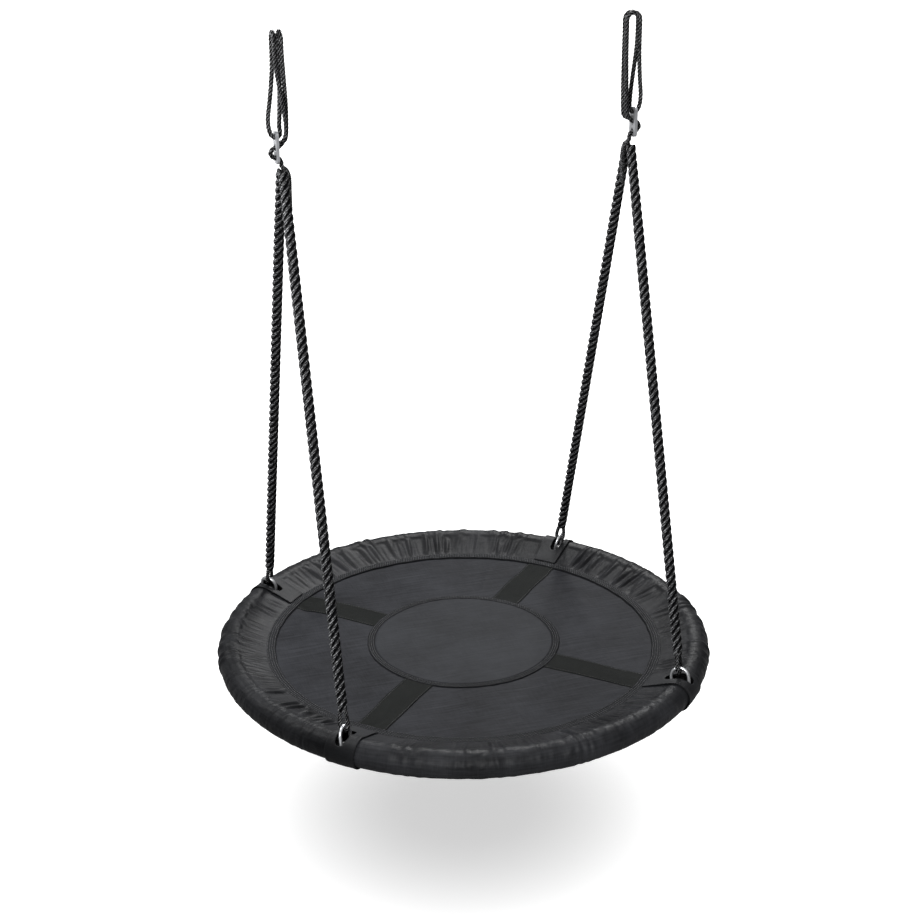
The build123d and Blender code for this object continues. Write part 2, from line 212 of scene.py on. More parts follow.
# ---------------------------------------------------------------- shader graphs
class Graph:
    """Short ways to add nodes. A value may be a number, an RGB tuple or a socket to link."""

    def __init__(self, tree):
        self.tree = tree

    def new(self, kind, **settings):
        node = self.tree.nodes.new(kind)
        for key, value in settings.items():
            setattr(node, key, value)
        return node

    def link(self, source, target):
        self.tree.links.new(source, target)

    def fill(self, socket, value):
        if isinstance(value, (int, float)):
            socket.default_value = value
        elif isinstance(value, tuple):
            socket.default_value = (*value, 1)
        else:
            self.link(value, socket)

    def math(self, operation, *values, clamp=False):
        node = self.new("ShaderNodeMath", operation=operation, use_clamp=clamp)
        for socket, value in zip(node.inputs, values):
            self.fill(socket, value)
        return node.outputs[0]

    def scale_add(self, value, factor, offset):
        return self.math("MULTIPLY_ADD", value, factor, offset)

    def wave(self, angle, function="SINE"):
        """Sine or cosine moved to 0..1."""
        return self.scale_add(self.math(function, angle), 0.5, 0.5)

    def weighted_sum(self, *terms):
        """Sum of (value, weight) pairs."""
        total = None
        for value, weight in terms:
            part = self.math("MULTIPLY", value, weight)
            total = part if total is None else self.math("ADD", total, part)
        return total

    def uv(self):
        return self.new("ShaderNodeUVMap", uv_map="UVMap").outputs[0]

    def coords(self, output="Object"):
        return self.new("ShaderNodeTexCoord").outputs[output]

    def camera_ray(self):
        return self.new("ShaderNodeLightPath").outputs["Is Camera Ray"]

    def mapping(self, vector, scale, turn=(0, 0, 0)):
        node = self.new("ShaderNodeMapping")
        node.inputs["Scale"].default_value = scale
        node.inputs["Rotation"].default_value = turn
        self.link(vector, node.inputs["Vector"])
        return node.outputs[0]

    def noise(self, vector, scale=1.0, detail=2.0, rough=0.5):
        node = self.new("ShaderNodeTexNoise")
        node.inputs["Scale"].default_value = scale
        node.inputs["Detail"].default_value = detail
        node.inputs["Roughness"].default_value = rough
        self.link(vector, node.inputs["Vector"])
        return node.outputs["Fac"]

    def split(self, vector):
        node = self.new("ShaderNodeSeparateXYZ")
        self.link(vector, node.inputs[0])
        return node.outputs

    def ramp(self, value, black_at, white_at):
        node = self.new("ShaderNodeValToRGB")
        node.color_ramp.elements[0].position = black_at
        node.color_ramp.elements[1].position = white_at
        self.link(value, node.inputs[0])
        return node.outputs["Color"]

    def mix(self, factor, first, second):
        node = self.new("ShaderNodeMix", data_type="RGBA")
        for index, value in ((0, factor), (6, first), (7, second)):
            self.fill(node.inputs[index], value)
        return node.outputs[2]

    def bump(self, height, distance, strength, normal=None):
        node = self.new("ShaderNodeBump")
        node.inputs["Distance"].default_value = distance
        node.inputs["Strength"].default_value = strength
        self.link(height, node.inputs["Height"])
        if normal is not None:
            self.link(normal, node.inputs["Normal"])
        return node.outputs[0]


class MaterialGraph(Graph):
    def __init__(self, name):
        self.material = bpy.data.materials.new(name)
        self.material.use_nodes = True
        super().__init__(self.material.node_tree)

    def shade(self, values):
        """Fills inputs of the Principled BSDF and returns the material."""
        shader = self.tree.nodes["Principled BSDF"]
        for key, value in values.items():
            self.fill(shader.inputs[key], value)
        return self.material


def scaled(color, factor):
    return tuple(channel * factor for channel in color)


# ---------------------------------------------------------------- materials
def woven(name, dark, light, pitch, streak, rough, spec, blotch, turn=0.6, depth=0.00025):
    """Plain weave: crossing yarns, slubs and brush streaks turned by turn, and blotches.

    pitch: yarn spacing. streak: weight of slubs and brush. blotch: noise scale of the blotches.
    depth: height of the weave.
    """
    g = MaterialGraph(name)
    uv = g.uv()
    axes = g.split(uv)
    yarns = [g.math("SINE", g.math("MULTIPLY", axes[k], math.pi / pitch)) for k in (0, 1)]
    weave = g.scale_add(g.math("MULTIPLY", *yarns), 0.5, 0.5)
    turned = (0, 0, turn)
    slub = g.noise(g.mapping(uv, (900.0, 26.0, 1.0), turned), detail=3.0, rough=0.6)
    cross_slub = g.noise(g.mapping(uv, (30.0, 700.0, 1.0), turned), detail=2.0, rough=0.6)
    blotches = g.noise(g.coords(), scale=blotch, detail=4.0, rough=0.6)
    brush = g.noise(g.mapping(uv, (9.0, 210.0, 1.0), turned), detail=3.0, rough=0.65)
    tone = g.weighted_sum((slub, streak * 2.0), (cross_slub, streak * 1.4), (weave, 0.16),
                          (blotches, 1.9), (brush, streak * 2.6))
    # the amount taken off is about the mean of the sum less a half
    tone = g.math("SUBTRACT", tone, 0.58 + streak * 3.0, clamp=True)
    color = g.mix(tone, dark, light)
    roughness = g.scale_add(blotches, 0.22, rough - 0.11)
    height = g.weighted_sum((weave, 0.8), (slub, 0.7))
    crumple = g.noise(g.coords(), scale=70.0, detail=3.0, rough=0.55)
    crumpled = g.bump(crumple, distance=0.0012, strength=0.5)
    return g.shade({
        "Base Color": color,
        "Roughness": roughness,
        "Specular IOR Level": spec,
        "Sheen Weight": 0.0,
        "Sheen Roughness": 0.45,
        "Sheen Tint": (0.85, 0.88, 1.0),
        "Normal": g.bump(height, distance=depth, strength=0.7, normal=crumpled),
    })


def webbing(name, dark, light, rib_pitch, pick_pitch=0.0016):
    """Flat woven tape: ribs along its length (u), fine picks across it."""
    g = MaterialGraph(name)
    uv = g.uv()
    axes = g.split(uv)
    rib = g.wave(g.math("MULTIPLY", axes[1], TAU / rib_pitch))
    pick = g.wave(g.scale_add(axes[0], TAU / pick_pitch, g.math("MULTIPLY", rib, 2.6)))
    blotches = g.noise(g.coords(), scale=12.0, detail=3.0, rough=0.6)
    fine = g.noise(g.mapping(uv, (60.0, 1400.0, 1.0)), detail=2.0, rough=0.6)
    tone = g.weighted_sum((rib, 0.3), (pick, 0.18), (blotches, 0.5), (fine, 0.25))
    tone = g.math("SUBTRACT", tone, 0.25, clamp=True)
    height = g.math("ADD", rib, g.math("MULTIPLY", pick, 0.7))
    return g.shade({
        "Base Color": g.mix(tone, dark, light),
        "Roughness": g.scale_add(fine, 0.2, 0.5),
        "Specular IOR Level": 0.05,
        "Sheen Weight": 0.0,
        "Sheen Roughness": 0.5,
        "Normal": g.bump(height, distance=0.00035, strength=0.8),
    })


def laid_rope(name, yarns, twist):
    """Strand of a laid rope: painted highlights on the filament bundles, on black.

    u runs once round the strand, v along it. yarns: bundles round the strand.
    twist: length of one repeat of the bundles along it.
    """
    g = MaterialGraph(name)
    uv = g.uv()
    axes = g.split(uv)
    phase = g.math("ADD", g.math("MULTIPLY", axes[0], TAU * yarns),
                   g.math("MULTIPLY", axes[1], -TAU / twist))
    jitter = g.noise(g.coords(), scale=260.0, detail=2.0, rough=0.6)
    yarn = g.wave(g.math("ADD", phase, g.math("MULTIPLY", jitter, 3.2)))
    hair = g.noise(g.mapping(uv, (46.0, 900.0, 1.0)), detail=3.0, rough=0.65)
    spots = g.noise(g.coords(), scale=420.0, detail=2.0, rough=0.55)
    glint = g.math("MULTIPLY", g.math("POWER", yarn, 2.2),
                   g.ramp(spots, black_at=0.42, white_at=0.62))
    # painted highlight and shade: only the outer crest of the strand gets the painted glints, and
    # its inner side towards the grooves stays black as painted shade
    crest = g.wave(g.scale_add(axes[0], TAU, -0.35), "COSINE")
    crest = g.math("MULTIPLY", g.ramp(crest, black_at=0.74, white_at=0.97), 1.0)
    shine = g.math("MULTIPLY", glint, crest)
    height = g.math("ADD", yarn, g.math("MULTIPLY", hair, 0.55))
    return g.shade({
        # black strand, with painted grey highlights where the glints fall on the crest
        "Base Color": g.mix(shine, (0.0022, 0.0022, 0.0026), (0.42, 0.425, 0.44)),
        "Roughness": g.scale_add(hair, 0.3, 0.27),
        "Specular IOR Level": g.scale_add(crest, 0.40, 0.02),
        "Sheen Weight": 0.0,
        "Sheen Roughness": 0.4,
        "Anisotropic": 0.4,
        "Normal": g.bump(height, distance=0.0006, strength=0.9),
    })


def thread(name, color):
    g = MaterialGraph(name)
    fibre = g.noise(g.coords(), scale=1800.0, detail=2.0, rough=0.6)
    return g.shade({
        "Base Color": g.mix(fibre, scaled(color, 0.6), scaled(color, 1.3)),
        "Roughness": 0.5,
        "Sheen Weight": 0.2,
        "Normal": g.bump(fibre, distance=0.0002, strength=0.6),
    })


def zinc(name, base, rough):
    """Bright zinc plate: cloudy passivation and fine scratches."""
    g = MaterialGraph(name)
    place = g.coords()
    cloud = g.noise(place, scale=60.0, detail=4.0, rough=0.6)
    scratch = g.noise(g.mapping(place, (40.0, 40.0, 900.0), (0.3, 0.5, 0.2)),
                      detail=3.0, rough=0.7)
    return g.shade({
        "Base Color": g.mix(cloud, scaled(base, 0.82), scaled(base, 1.12)),
        "Metallic": 0.85,
        "Roughness": g.math("ADD", g.scale_add(cloud, 0.25, rough - 0.12),
                            g.math("MULTIPLY", scratch, 0.12)),
        "Normal": g.bump(scratch, distance=0.00015, strength=0.35),
    })


def painted(name):
    g = MaterialGraph(name)
    place = g.coords()
    peel = g.noise(place, scale=900.0, detail=2.0, rough=0.5)
    cloud = g.noise(place, scale=14.0, detail=3.0, rough=0.5)
    return g.shade({
        "Base Color": g.mix(cloud, (0.012, 0.012, 0.013), (0.024, 0.024, 0.026)),
        "Roughness": g.scale_add(peel, 0.15, 0.33),
        "Normal": g.bump(peel, distance=0.0002, strength=0.4),
        "Coat Weight": 0.2,
    })


def foam(name):
    g = MaterialGraph(name)
    cells = g.new("ShaderNodeTexVoronoi")
    cells.inputs["Scale"].default_value = 700.0
    g.link(g.coords(), cells.inputs["Vector"])
    distance = cells.outputs["Distance"]
    return g.shade({
        "Base Color": g.mix(distance, (0.03, 0.03, 0.031), (0.075, 0.075, 0.078)),
        "Roughness": 0.9,
        "Normal": g.bump(distance, distance=0.0006, strength=0.8),
    })


COVER_FABRIC = woven("cover_fabric", dark=(0.0056, 0.0058, 0.0064), light=(0.0265, 0.0272, 0.0302),
                     pitch=0.0011, streak=0.34, rough=0.46, spec=0.085, depth=0.00014, blotch=9.0)
MAT_FABRIC = woven("mat_fabric", dark=(0.0100, 0.0104, 0.0124), light=(0.036, 0.0375, 0.043),
                   pitch=0.0018, streak=0.50, turn=0.75, rough=0.60, spec=0.05, blotch=6.0)
DISC_FABRIC = woven("disc_fabric", dark=(0.0155, 0.0161, 0.0184), light=(0.040, 0.042, 0.047),
                    pitch=0.0018, streak=0.30, turn=0.0, rough=0.60, spec=0.05, blotch=6.0)
CROSS_WEBBING = webbing("cross_webbing", dark=(0.0062, 0.0070, 0.0066),
                        light=(0.0175, 0.0190, 0.0180), rib_pitch=0.0024)
BINDING_WEBBING = webbing("binding_webbing", dark=(0.0085, 0.0088, 0.0098),
                          light=(0.031, 0.032, 0.035), rib_pitch=0.0040)
RIM_STRAP = woven("rim_strap", dark=(0.0105, 0.0108, 0.0118), light=(0.029, 0.030, 0.033),
                  pitch=0.0012, streak=0.2, rough=0.52, spec=0.11, depth=0.00016, blotch=9.0)
THICK_ROPE = laid_rope("thick_rope", yarns=6.0, twist=0.016)
THIN_ROPE = laid_rope("thin_rope", yarns=5.0, twist=0.009)
THREAD = thread("stitch_thread", (0.075, 0.077, 0.083))
DARK_THREAD = thread("stitch_thread_dark", (0.030, 0.031, 0.033))
ZINC_LINK = zinc("zinc_link", base=(0.62, 0.63, 0.65), rough=0.26)
ZINC_PLATE = zinc("zinc_plate", base=(0.50, 0.51, 0.53), rough=0.36)
ZINC_FASTENER = zinc("zinc_fastener", base=(0.62, 0.63, 0.65), rough=0.36)
TUBE_STEEL = painted("tube_steel")
FOAM = foam("foam")


def frame_material(node):
    """Material of a CAD piece, from its node name."""
    if node.startswith(("rim_tube_s", "rim_tube_n")):
        return ZINC_FASTENER
    if node.startswith("rim_tube"):
        return TUBE_STEEL
    if node.startswith("foam"):
        return FOAM
    if node.endswith("_link"):
        return ZINC_LINK
    if node.endswith("_plate"):
        return ZINC_PLATE
    return RIM_STRAP


for node_name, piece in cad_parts.items():
    piece.data.materials.clear()
    piece.data.materials.append(frame_material(node_name))


# ---------------------------------------------------------------- the mat's shape
mat_waves = field(14, 110, 260, 21)
strap_waves = field(18, 28, 60, 22)
CREASE_FOCUS_R = 404       # the creases fan out from here, towards each rope point
FOLD_ANGLES = (180.0, 62.0, 292.0)


def mat_height(x, y):
    """Height of the mat's upper face: slow waves, creases from the rope points, old folds."""
    radius = np.hypot(x, y)
    edge = 1 - ease(radius, 360, 392)
    outside_disc = ease(radius, 150, 235)
    z = 1.7 * mat_waves(x, y) * edge * (0.35 + 0.65 * outside_disc)
    for k, corner in enumerate(CORNERS.values()):
        angle = math.radians(corner)
        out_x, out_y = math.cos(angle), math.sin(angle)
        dx = CREASE_FOCUS_R * out_x - x
        dy = CREASE_FOCUS_R * out_y - y
        reach = np.hypot(dx, dy)
        bearing = np.arctan2(-(dx * out_y - dy * out_x), dx * out_x + dy * out_y)
        fan = np.sin(7.5 * bearing + 1.1 * k) + 0.6 * np.sin(13 * bearing + 2.3 * k)
        fade = np.exp(-reach / 85.0) * ease(reach, 8, 45) * (np.abs(bearing) < 1.6)
        z = z + 1.5 * fan * fade * edge
    theta = np.arctan2(y, x)
    for angle in FOLD_ANGLES:
        turn = theta - math.radians(angle)
        span = ease(radius, 205, 250) * (1 - ease(radius, 340, 380))
        z = z + (np.cos(turn) > 0) * 0.7 * bell(radius * np.sin(turn), 0, 5.0) * span
    return z


# ---------------------------------------------------------------- mat panels
PANEL_INNER_R, PANEL_OUTER_R = 176.0, 399.0
PANEL_HALF_ANGLE = 44.97
PANEL_TOP, PANEL_LOW = -1.4, -2.4       # faces of the panels, from mat_height


def mat_panel(quad, angle):
    shape = (46, 110)
    radii = np.linspace(PANEL_INNER_R, PANEL_OUTER_R, shape[0])
    angles = np.radians(np.linspace(angle - PANEL_HALF_ANGLE, angle + PANEL_HALF_ANGLE, shape[1]))
    radius, theta = np.meshgrid(radii, angles, indexing="ij")
    x, y = radius * np.cos(theta), radius * np.sin(theta)
    z = mat_height(x, y)
    top = np.stack([x, y, z + PANEL_TOP], -1).reshape(-1, 3)
    low = np.stack([x, y, z + PANEL_LOW], -1).reshape(-1, 3)
    ob = slab(f"woven_panel_{quad}", top, low, shape, top[:, :2] * MM, MAT_FABRIC, turned=True)
    assign(ob, "seat", "mat_fabric", f"mat_panel_{quad}")


for quad_name, quad_angle in QUADS.items():
    mat_panel(quad_name, quad_angle)

# ---------------------------------------------------------------- centre disc
DISC_R = 183.0
DISC_FIRST_RING_R = 6.0
DISC_THICKNESS = 1.2


def centre_disc():
    rings, around = 40, 160
    radii = np.linspace(DISC_FIRST_RING_R, DISC_R, rings)
    angles = np.linspace(0, TAU, around, endpoint=False)
    radius, theta = np.meshgrid(radii, angles, indexing="ij")
    x, y = radius * np.cos(theta), radius * np.sin(theta)
    top = np.vstack([[0, 0, float(mat_height(0, 0)) * 0.3],
                     np.stack([x, y, mat_height(x, y)], -1).reshape(-1, 3)])
    count = len(top)
    after = [(j + 1) % around for j in range(around)]
    faces = [(0, 1 + j, 1 + after[j]) for j in range(around)]
    for i in range(rings - 1):
        a = 1 + i * around
        b = a + around
        faces += [(a + j, b + j, b + after[j], a + after[j]) for j in range(around)]
    low_faces = [tuple(v + count for v in face[::-1]) for face in faces]
    last = 1 + (rings - 1) * around
    sides = [(last + j, last + j + count, last + after[j] + count, last + after[j])
             for j in range(around)]
    faces = faces + low_faces + sides
    uv = np.tile(top[:, :2] * MM, (2, 1))
    verts = np.vstack([top, top - np.array([0, 0, DISC_THICKNESS])])
    ob = make("woven_centre_disc", verts, faces, [uv[list(face)] for face in faces], DISC_FABRIC)
    assign(ob, "seat", "disc_fabric", "centre_disc")


centre_disc()

# ---------------------------------------------------------------- bindings
# Tapes folded over the mat's edges. inner, outer: radii. top, low: faces, from mat_height.
# rows: radii of the stitch rows, each in a groove. sway: how far the edge wanders.
# columns: sections round the ring. row_points: points of a stitch row.
# under_step: every n-th row shows below.
BINDINGS = {
    "rim": dict(inner=384.5, outer=404.8, top=2.6, low=-4.6, rows=(388.0, 392.5, 397.0, 401.5),
                sway=1.1, columns=540, row_points=900, under_step=3),
    "centre": dict(inner=182.0, outer=197.4, top=1.0, low=-3.4, rows=(185.6, 189.8, 194.0),
                   sway=0.5, columns=300, row_points=480, under_step=2),
}
GROOVE_DEPTH = 0.55
STITCH_SINK = 0.45       # stitch line under the face of the tape
binding_sway = waves(6, 11, 60, 31)
binding_lift = waves(6, 30, 140, 32)


def binding_profile(inner, outer, top, low, rows):
    """Closed cross-section (radius, z): upper face outwards, then lower face back."""
    radius = np.linspace(inner, outer, 27)
    part = (radius - inner) / (outer - inner)
    roll = np.sqrt(np.clip(1 - (2 * part - 1) ** 6, 0, 1))
    groove = sum(GROOVE_DEPTH * bell(radius, row, 1.0) for row in rows)
    middle = (top + low) / 2
    upper = middle + (top - middle - groove) * roll
    lower = middle - (middle - low - groove) * roll
    return np.vstack([np.c_[radius, upper], np.c_[radius[::-1][1:-1], lower[::-1][1:-1]]])


def drape(points, theta, sway):
    """Lays (radius, z) points on the waves of the mat."""
    radius = points[..., 0] + sway * binding_sway(theta) * 0.6
    lift = mat_height(radius * np.cos(theta), radius * np.sin(theta))
    return np.stack([radius, points[..., 1] + lift + 0.25 * binding_lift(theta)], -1)


def ring_points(section, theta):
    radius = section[..., 0]
    return np.stack([radius * np.cos(theta), radius * np.sin(theta), section[..., 1]], -1)


def binding(name, size):
    profile = binding_profile(*(size[key] for key in ("inner", "outer", "top", "low", "rows")))
    columns = size["columns"]
    theta = np.linspace(0, TAU, columns, endpoint=False)[:, None]
    section = drape(profile[None, :, :].repeat(columns, 0), theta, size["sway"])
    length = path_length(np.vstack([profile, profile[:1]]))
    faces, row, column = ring_grid(columns, len(profile))
    around = row / columns * TAU * profile[:, 0].mean()
    ob = make(f"stitched_{name}_binding", ring_points(section, theta).reshape(-1, 3), faces,
              np.stack([around, length[column]], -1) * MM, BINDING_WEBBING)
    assign(ob, "seat", "binding_webbing", f"{name}_binding")


for binding_name, binding_size in BINDINGS.items():
    binding(binding_name, binding_size)

# ---------------------------------------------------------------- stitching
STITCH_LENGTH, STITCH_GAP, STITCH_R = 4.2, 1.5, 0.42
# five rings along a stitch: place along it, lift and radius in stitch radii
STITCH_PLACE = np.array([-0.5, -0.36, 0.0, 0.36, 0.5])
STITCH_LIFT = np.array([-0.5, 0.35, 0.62, 0.35, -0.5]) * STITCH_R
STITCH_RADII = np.array([0.35, 0.9, 1.0, 0.9, 0.35]) * STITCH_R
STITCH_FACES = grid(5, 5, wrap=True)[0].tolist() + [[4, 3, 2, 1, 0], [20, 21, 22, 23, 24]]


def stitches(name, rows, material, slot):
    """Short rounded threads that dip into the cloth. rows: (points, normals, closed)."""
    verts, faces = [], []
    turn = (np.arange(5) * TAU / 5)[None, :, None]
    for points, normals, closed in rows:
        if closed:
            points = np.vstack([points, points[:1]])
            normals = np.vstack([normals, normals[:1]])
        length = path_length(points)
        count = max(1, int(length[-1] / (STITCH_LENGTH + STITCH_GAP)))
        step = length[-1] / count
        for k in range(count):
            middle = (k + 0.5) * step
            at = middle + STITCH_PLACE * (step - STITCH_GAP)
            line = np.stack([np.interp(at, length, points[:, c]) for c in range(3)], -1)
            normal = np.stack([np.interp(middle, length, normals[:, c]) for c in range(3)], -1)
            normal = normal / np.linalg.norm(normal)
            along = line[-1] - line[0]
            across = np.cross(along / np.linalg.norm(along), normal)
            line = line + STITCH_LIFT[:, None] * normal
            rings = line[:, None, :] + STITCH_RADII[:, None, None] * (
                np.cos(turn) * across + np.sin(turn) * normal)
            base = 25 * len(verts)
            verts.append(rings.reshape(-1, 3))
            faces += [[base + v for v in face] for face in STITCH_FACES]
    assign(make(name, np.vstack(verts), faces, None, material), "seat", slot)


def ring_row(size, radius, z, up):
    """Stitch row round a binding."""
    count = size["row_points"]
    theta = np.linspace(0, TAU, count, endpoint=False)
    section = drape(np.tile([radius, z], (count, 1)), theta, size["sway"])
    return ring_points(section, theta), np.tile([0, 0, up], (count, 1)), True


for binding_name, size in BINDINGS.items():
    stitch_rows = [ring_row(size, r, size["top"] - STITCH_SINK, 1.0) for r in size["rows"]]
    stitch_rows += [ring_row(size, r, size["low"] + STITCH_SINK, -1.0)
                    for r in size["rows"][::size["under_step"]]]
    stitches(f"{binding_name}_binding_stitches", stitch_rows, THREAD, "binding_webbing")

# ---------------------------------------------------------------- cross straps on the mat
CROSS_INNER_R, CROSS_OUTER_R = 188.0, 394.0
CROSS_HALF_WIDTH = 31.0
CROSS_STITCH_W = 27.5                             # stitch lines, from the strap's middle
CROSS_STITCH_START, CROSS_STITCH_END = 198.0, 384.0


def cross_strap(corner, degrees):
    """Radial strap from the centre binding to the rim binding. Returns its stitch rows."""
    angle = math.radians(degrees)
    out_x, out_y = math.cos(angle), math.sin(angle)

    def place(along, across):
        return along * out_x - across * out_y, along * out_y + across * out_x

    shape = (60, 25)
    along, across = np.meshgrid(np.linspace(CROSS_INNER_R, CROSS_OUTER_R, shape[0]),
                                np.linspace(-CROSS_HALF_WIDTH, CROSS_HALF_WIDTH, shape[1]),
                                indexing="ij")
    across = across + (0.5 * np.sin(along / 23.0 + degrees)
                       * (np.abs(across) / CROSS_HALF_WIDTH))
    x, y = place(along, across)
    edge = np.clip((CROSS_HALF_WIDTH - np.abs(across)) / 1.6, 0, 1)
    z = mat_height(x, y) + 0.15 * strap_waves(x, y)
    groove = 0.30 * bell(np.abs(across), CROSS_STITCH_W, 1.0)
    top = np.stack([x, y, z - 1.25 + 1.05 * np.sqrt(edge) - groove], -1).reshape(-1, 3)
    low = np.stack([x, y, z - 1.38], -1).reshape(-1, 3)
    uv = np.stack([along, across], -1).reshape(-1, 2) * MM
    ob = slab(f"webbing_cross_strap_{corner}", top, low, shape, uv, CROSS_WEBBING)
    assign(ob, "seat", "cross_webbing", f"cross_strap_{corner}")
    rows = []
    for across in (-CROSS_STITCH_W, CROSS_STITCH_W):
        x, y = place(np.linspace(CROSS_STITCH_START, CROSS_STITCH_END, 120), across)
        points = np.stack([x, y, mat_height(x, y) - STITCH_SINK], -1)
        rows.append((points, np.tile([0, 0, 1.0], (120, 1)), False))
    return rows


stitch_rows = []
for corner_name, corner_angle in CORNERS.items():
    stitch_rows += cross_strap(corner_name, corner_angle)
stitches("cross_strap_stitches", stitch_rows, DARK_THREAD, "cross_webbing")


# ---------------------------------------------------------------- rim cover
def wrap_profile(radius, upper, lower, count):
    """Line from the upper seam, round the outside of the rim, to the lower seam.

    Returns evenly spaced (r, z) points, outward normals and lengths along the line.
    """
    centre = np.array([RING_R, 0.0])

    def tangent(seam, side):
        reach = np.array(seam) - centre
        return math.atan2(reach[1], reach[0]) - side * math.acos(radius / np.hypot(*reach))

    arc = np.linspace(tangent(upper, 1), tangent(lower, -1), 200)
    round_rim = np.c_[centre[0] + radius * np.cos(arc), radius * np.sin(arc)]
    line = np.vstack([upper, round_rim, lower])
    steps = np.hypot(*np.diff(line, axis=0).T)
    length = np.concatenate([[0], np.cumsum(steps)])
    at = np.linspace(0, length[-1], count)
    points = np.c_[np.interp(at, length, line[:, 0]), np.interp(at, length, line[:, 1])]
    along = unit_rows(np.gradient(points, axis=0))
    return points, np.c_[-along[:, 1], along[:, 0]], at


COVER_SHAPE = (48, 200)      # points round the rim's section, points along the rim
COVER_GAP = 1.85             # degrees left free at each end of a cover
COVER_POINTS, COVER_NORMALS, COVER_LENGTH = wrap_profile(
    radius=25.8, upper=(401.5, 0.6), lower=(401.5, -3.2), count=COVER_SHAPE[0])
FLAT_R = 508.0               # radius that sets the length of the flat cloth
COVER_UV_R = 505.0
FOAM_R = 24.0
FOAM_CLEAR_R = 25.1          # the cloth is kept outside this radius
MAX_MOVE = 13.0              # the cloth moves at most this far from its start
CLOTH_FRAMES = 26
cover_phase = waves(9, 5, 40, 41)
cover_slow = waves(9, 3, 21, 42)
cover_fine = waves(12, 60, 170, 43)


def cover_start(part, theta, hold):
    """(r, z) of a sleeve with the first hint of its gathers. part: 0..1 round the section."""
    phase = (78 * theta + 2.0 * cover_phase(theta)
             + 1.2 * np.sin(9 * part + 3 * cover_slow(theta)))
    folds = (np.sin(phase) + 0.45 * np.sin(2.1 * phase + 2.0 * cover_slow(theta))
             + 0.35 * cover_fine(theta))
    inner = np.exp(-((part - 0.13) / 0.14) ** 2) + 0.8 * np.exp(-((part - 0.88) / 0.12) ** 2)
    crest = np.exp(-((part - 0.36) / 0.13) ** 2)
    depth = ((3.0 * inner + 0.9 * crest + 0.25) * (0.75 + 0.45 * cover_slow(theta))
             * ease(np.sin(math.pi * part), 0.0, 0.18))
    lift = np.maximum(depth * folds * hold, -1.4 - 3.0 * inner)
    return (COVER_POINTS[:, 0][:, None] + COVER_NORMALS[:, 0][:, None] * lift,
            COVER_POINTS[:, 1][:, None] + COVER_NORMALS[:, 1][:, None] * lift)


def simulate(ob, rest, pinned):
    """Runs the cloth from the object's shape towards the flat rest shape, and returns it."""
    ob.shape_key_add(name="Basis")
    key = ob.shape_key_add(name="flat")
    key.data.foreach_set("co", (rest * MM).astype(np.float32).ravel())
    key.value = 0.0
    pins = ob.vertex_groups.new(name="pin")
    pins.add([int(i) for i in np.nonzero(pinned)[0]], 1.0, "REPLACE")
    cloth = ob.modifiers.new("cloth", "CLOTH")
    settings = cloth.settings
    settings.quality = 6
    settings.mass = 0.12
    settings.tension_stiffness = 22
    settings.compression_stiffness = 22
    settings.shear_stiffness = 6
    settings.bending_stiffness = 0.06
    settings.tension_damping = 8
    settings.compression_damping = 8
    settings.shear_damping = 8
    settings.bending_damping = 0.5
    settings.air_damping = 3
    settings.vertex_group_mass = "pin"
    settings.pin_stiffness = 1.0
    settings.rest_shape_key = key
    settings.effector_weights.gravity = 0.15
    settings.use_pressure = True
    settings.uniform_pressure_force = 1.2
    cloth.collision_settings.use_collision = True
    cloth.collision_settings.distance_min = 0.001
    cloth.collision_settings.use_self_collision = False
    cloth.point_cache.frame_start = 1
    cloth.point_cache.frame_end = CLOTH_FRAMES
    scene = bpy.context.scene
    scene.frame_start = 1
    scene.frame_end = CLOTH_FRAMES
    for number in range(1, CLOTH_FRAMES + 1):
        scene.frame_set(number)
    evaluated = ob.evaluated_get(bpy.context.evaluated_depsgraph_get())
    points = np.zeros(len(evaluated.data.vertices) * 3, np.float32)
    evaluated.data.vertices.foreach_get("co", points)
    scene.frame_set(1)
    return points.reshape(-1, 3) / MM


def foam_collider():
    around, section = 220, 20
    turn, tilt = np.meshgrid(np.linspace(0, TAU, around, endpoint=False),
                             np.linspace(0, TAU, section, endpoint=False), indexing="ij")
    radius = RING_R + FOAM_R * np.cos(tilt)
    points = np.stack([radius * np.cos(turn), radius * np.sin(turn), FOAM_R * np.sin(tilt)], -1)
    ob = make("sim_foam", points.reshape(-1, 3), ring_grid(around, section)[0])
    ob.modifiers.new("collision", "COLLISION")
    ob.collision.thickness_outer = 0.001
    return ob


def gather(start, faces, theta, away):
    """Simulates a sleeve, then limits how far it moved and keeps it outside the foam."""
    ob = make("sim_cover", start, faces)
    flat_x = (theta - theta[:, :1]) * FLAT_R
    rest = np.stack([flat_x, COVER_LENGTH[:, None] + 0 * flat_x, 0 * flat_x], -1)
    pinned = np.zeros(COVER_SHAPE, bool)
    pinned[[0, -1]] = True
    pinned[:, away < 3.8] = True
    points = simulate(ob, rest.reshape(-1, 3), pinned.ravel())
    discard(ob)
    move = points - start
    distance = np.linalg.norm(move, axis=1)
    points = start + move * np.minimum(1.0, MAX_MOVE / np.maximum(distance, 1e-6))[:, None]
    radius = np.hypot(points[:, 0], points[:, 1])
    out, z = radius - RING_R, points[:, 2]
    push = np.maximum(FOAM_CLEAR_R / np.maximum(np.hypot(out, z), 1e-6), 1.0)
    pushed = RING_R + out * push
    return np.stack([points[:, 0] / radius * pushed, points[:, 1] / radius * pushed, z * push], -1)


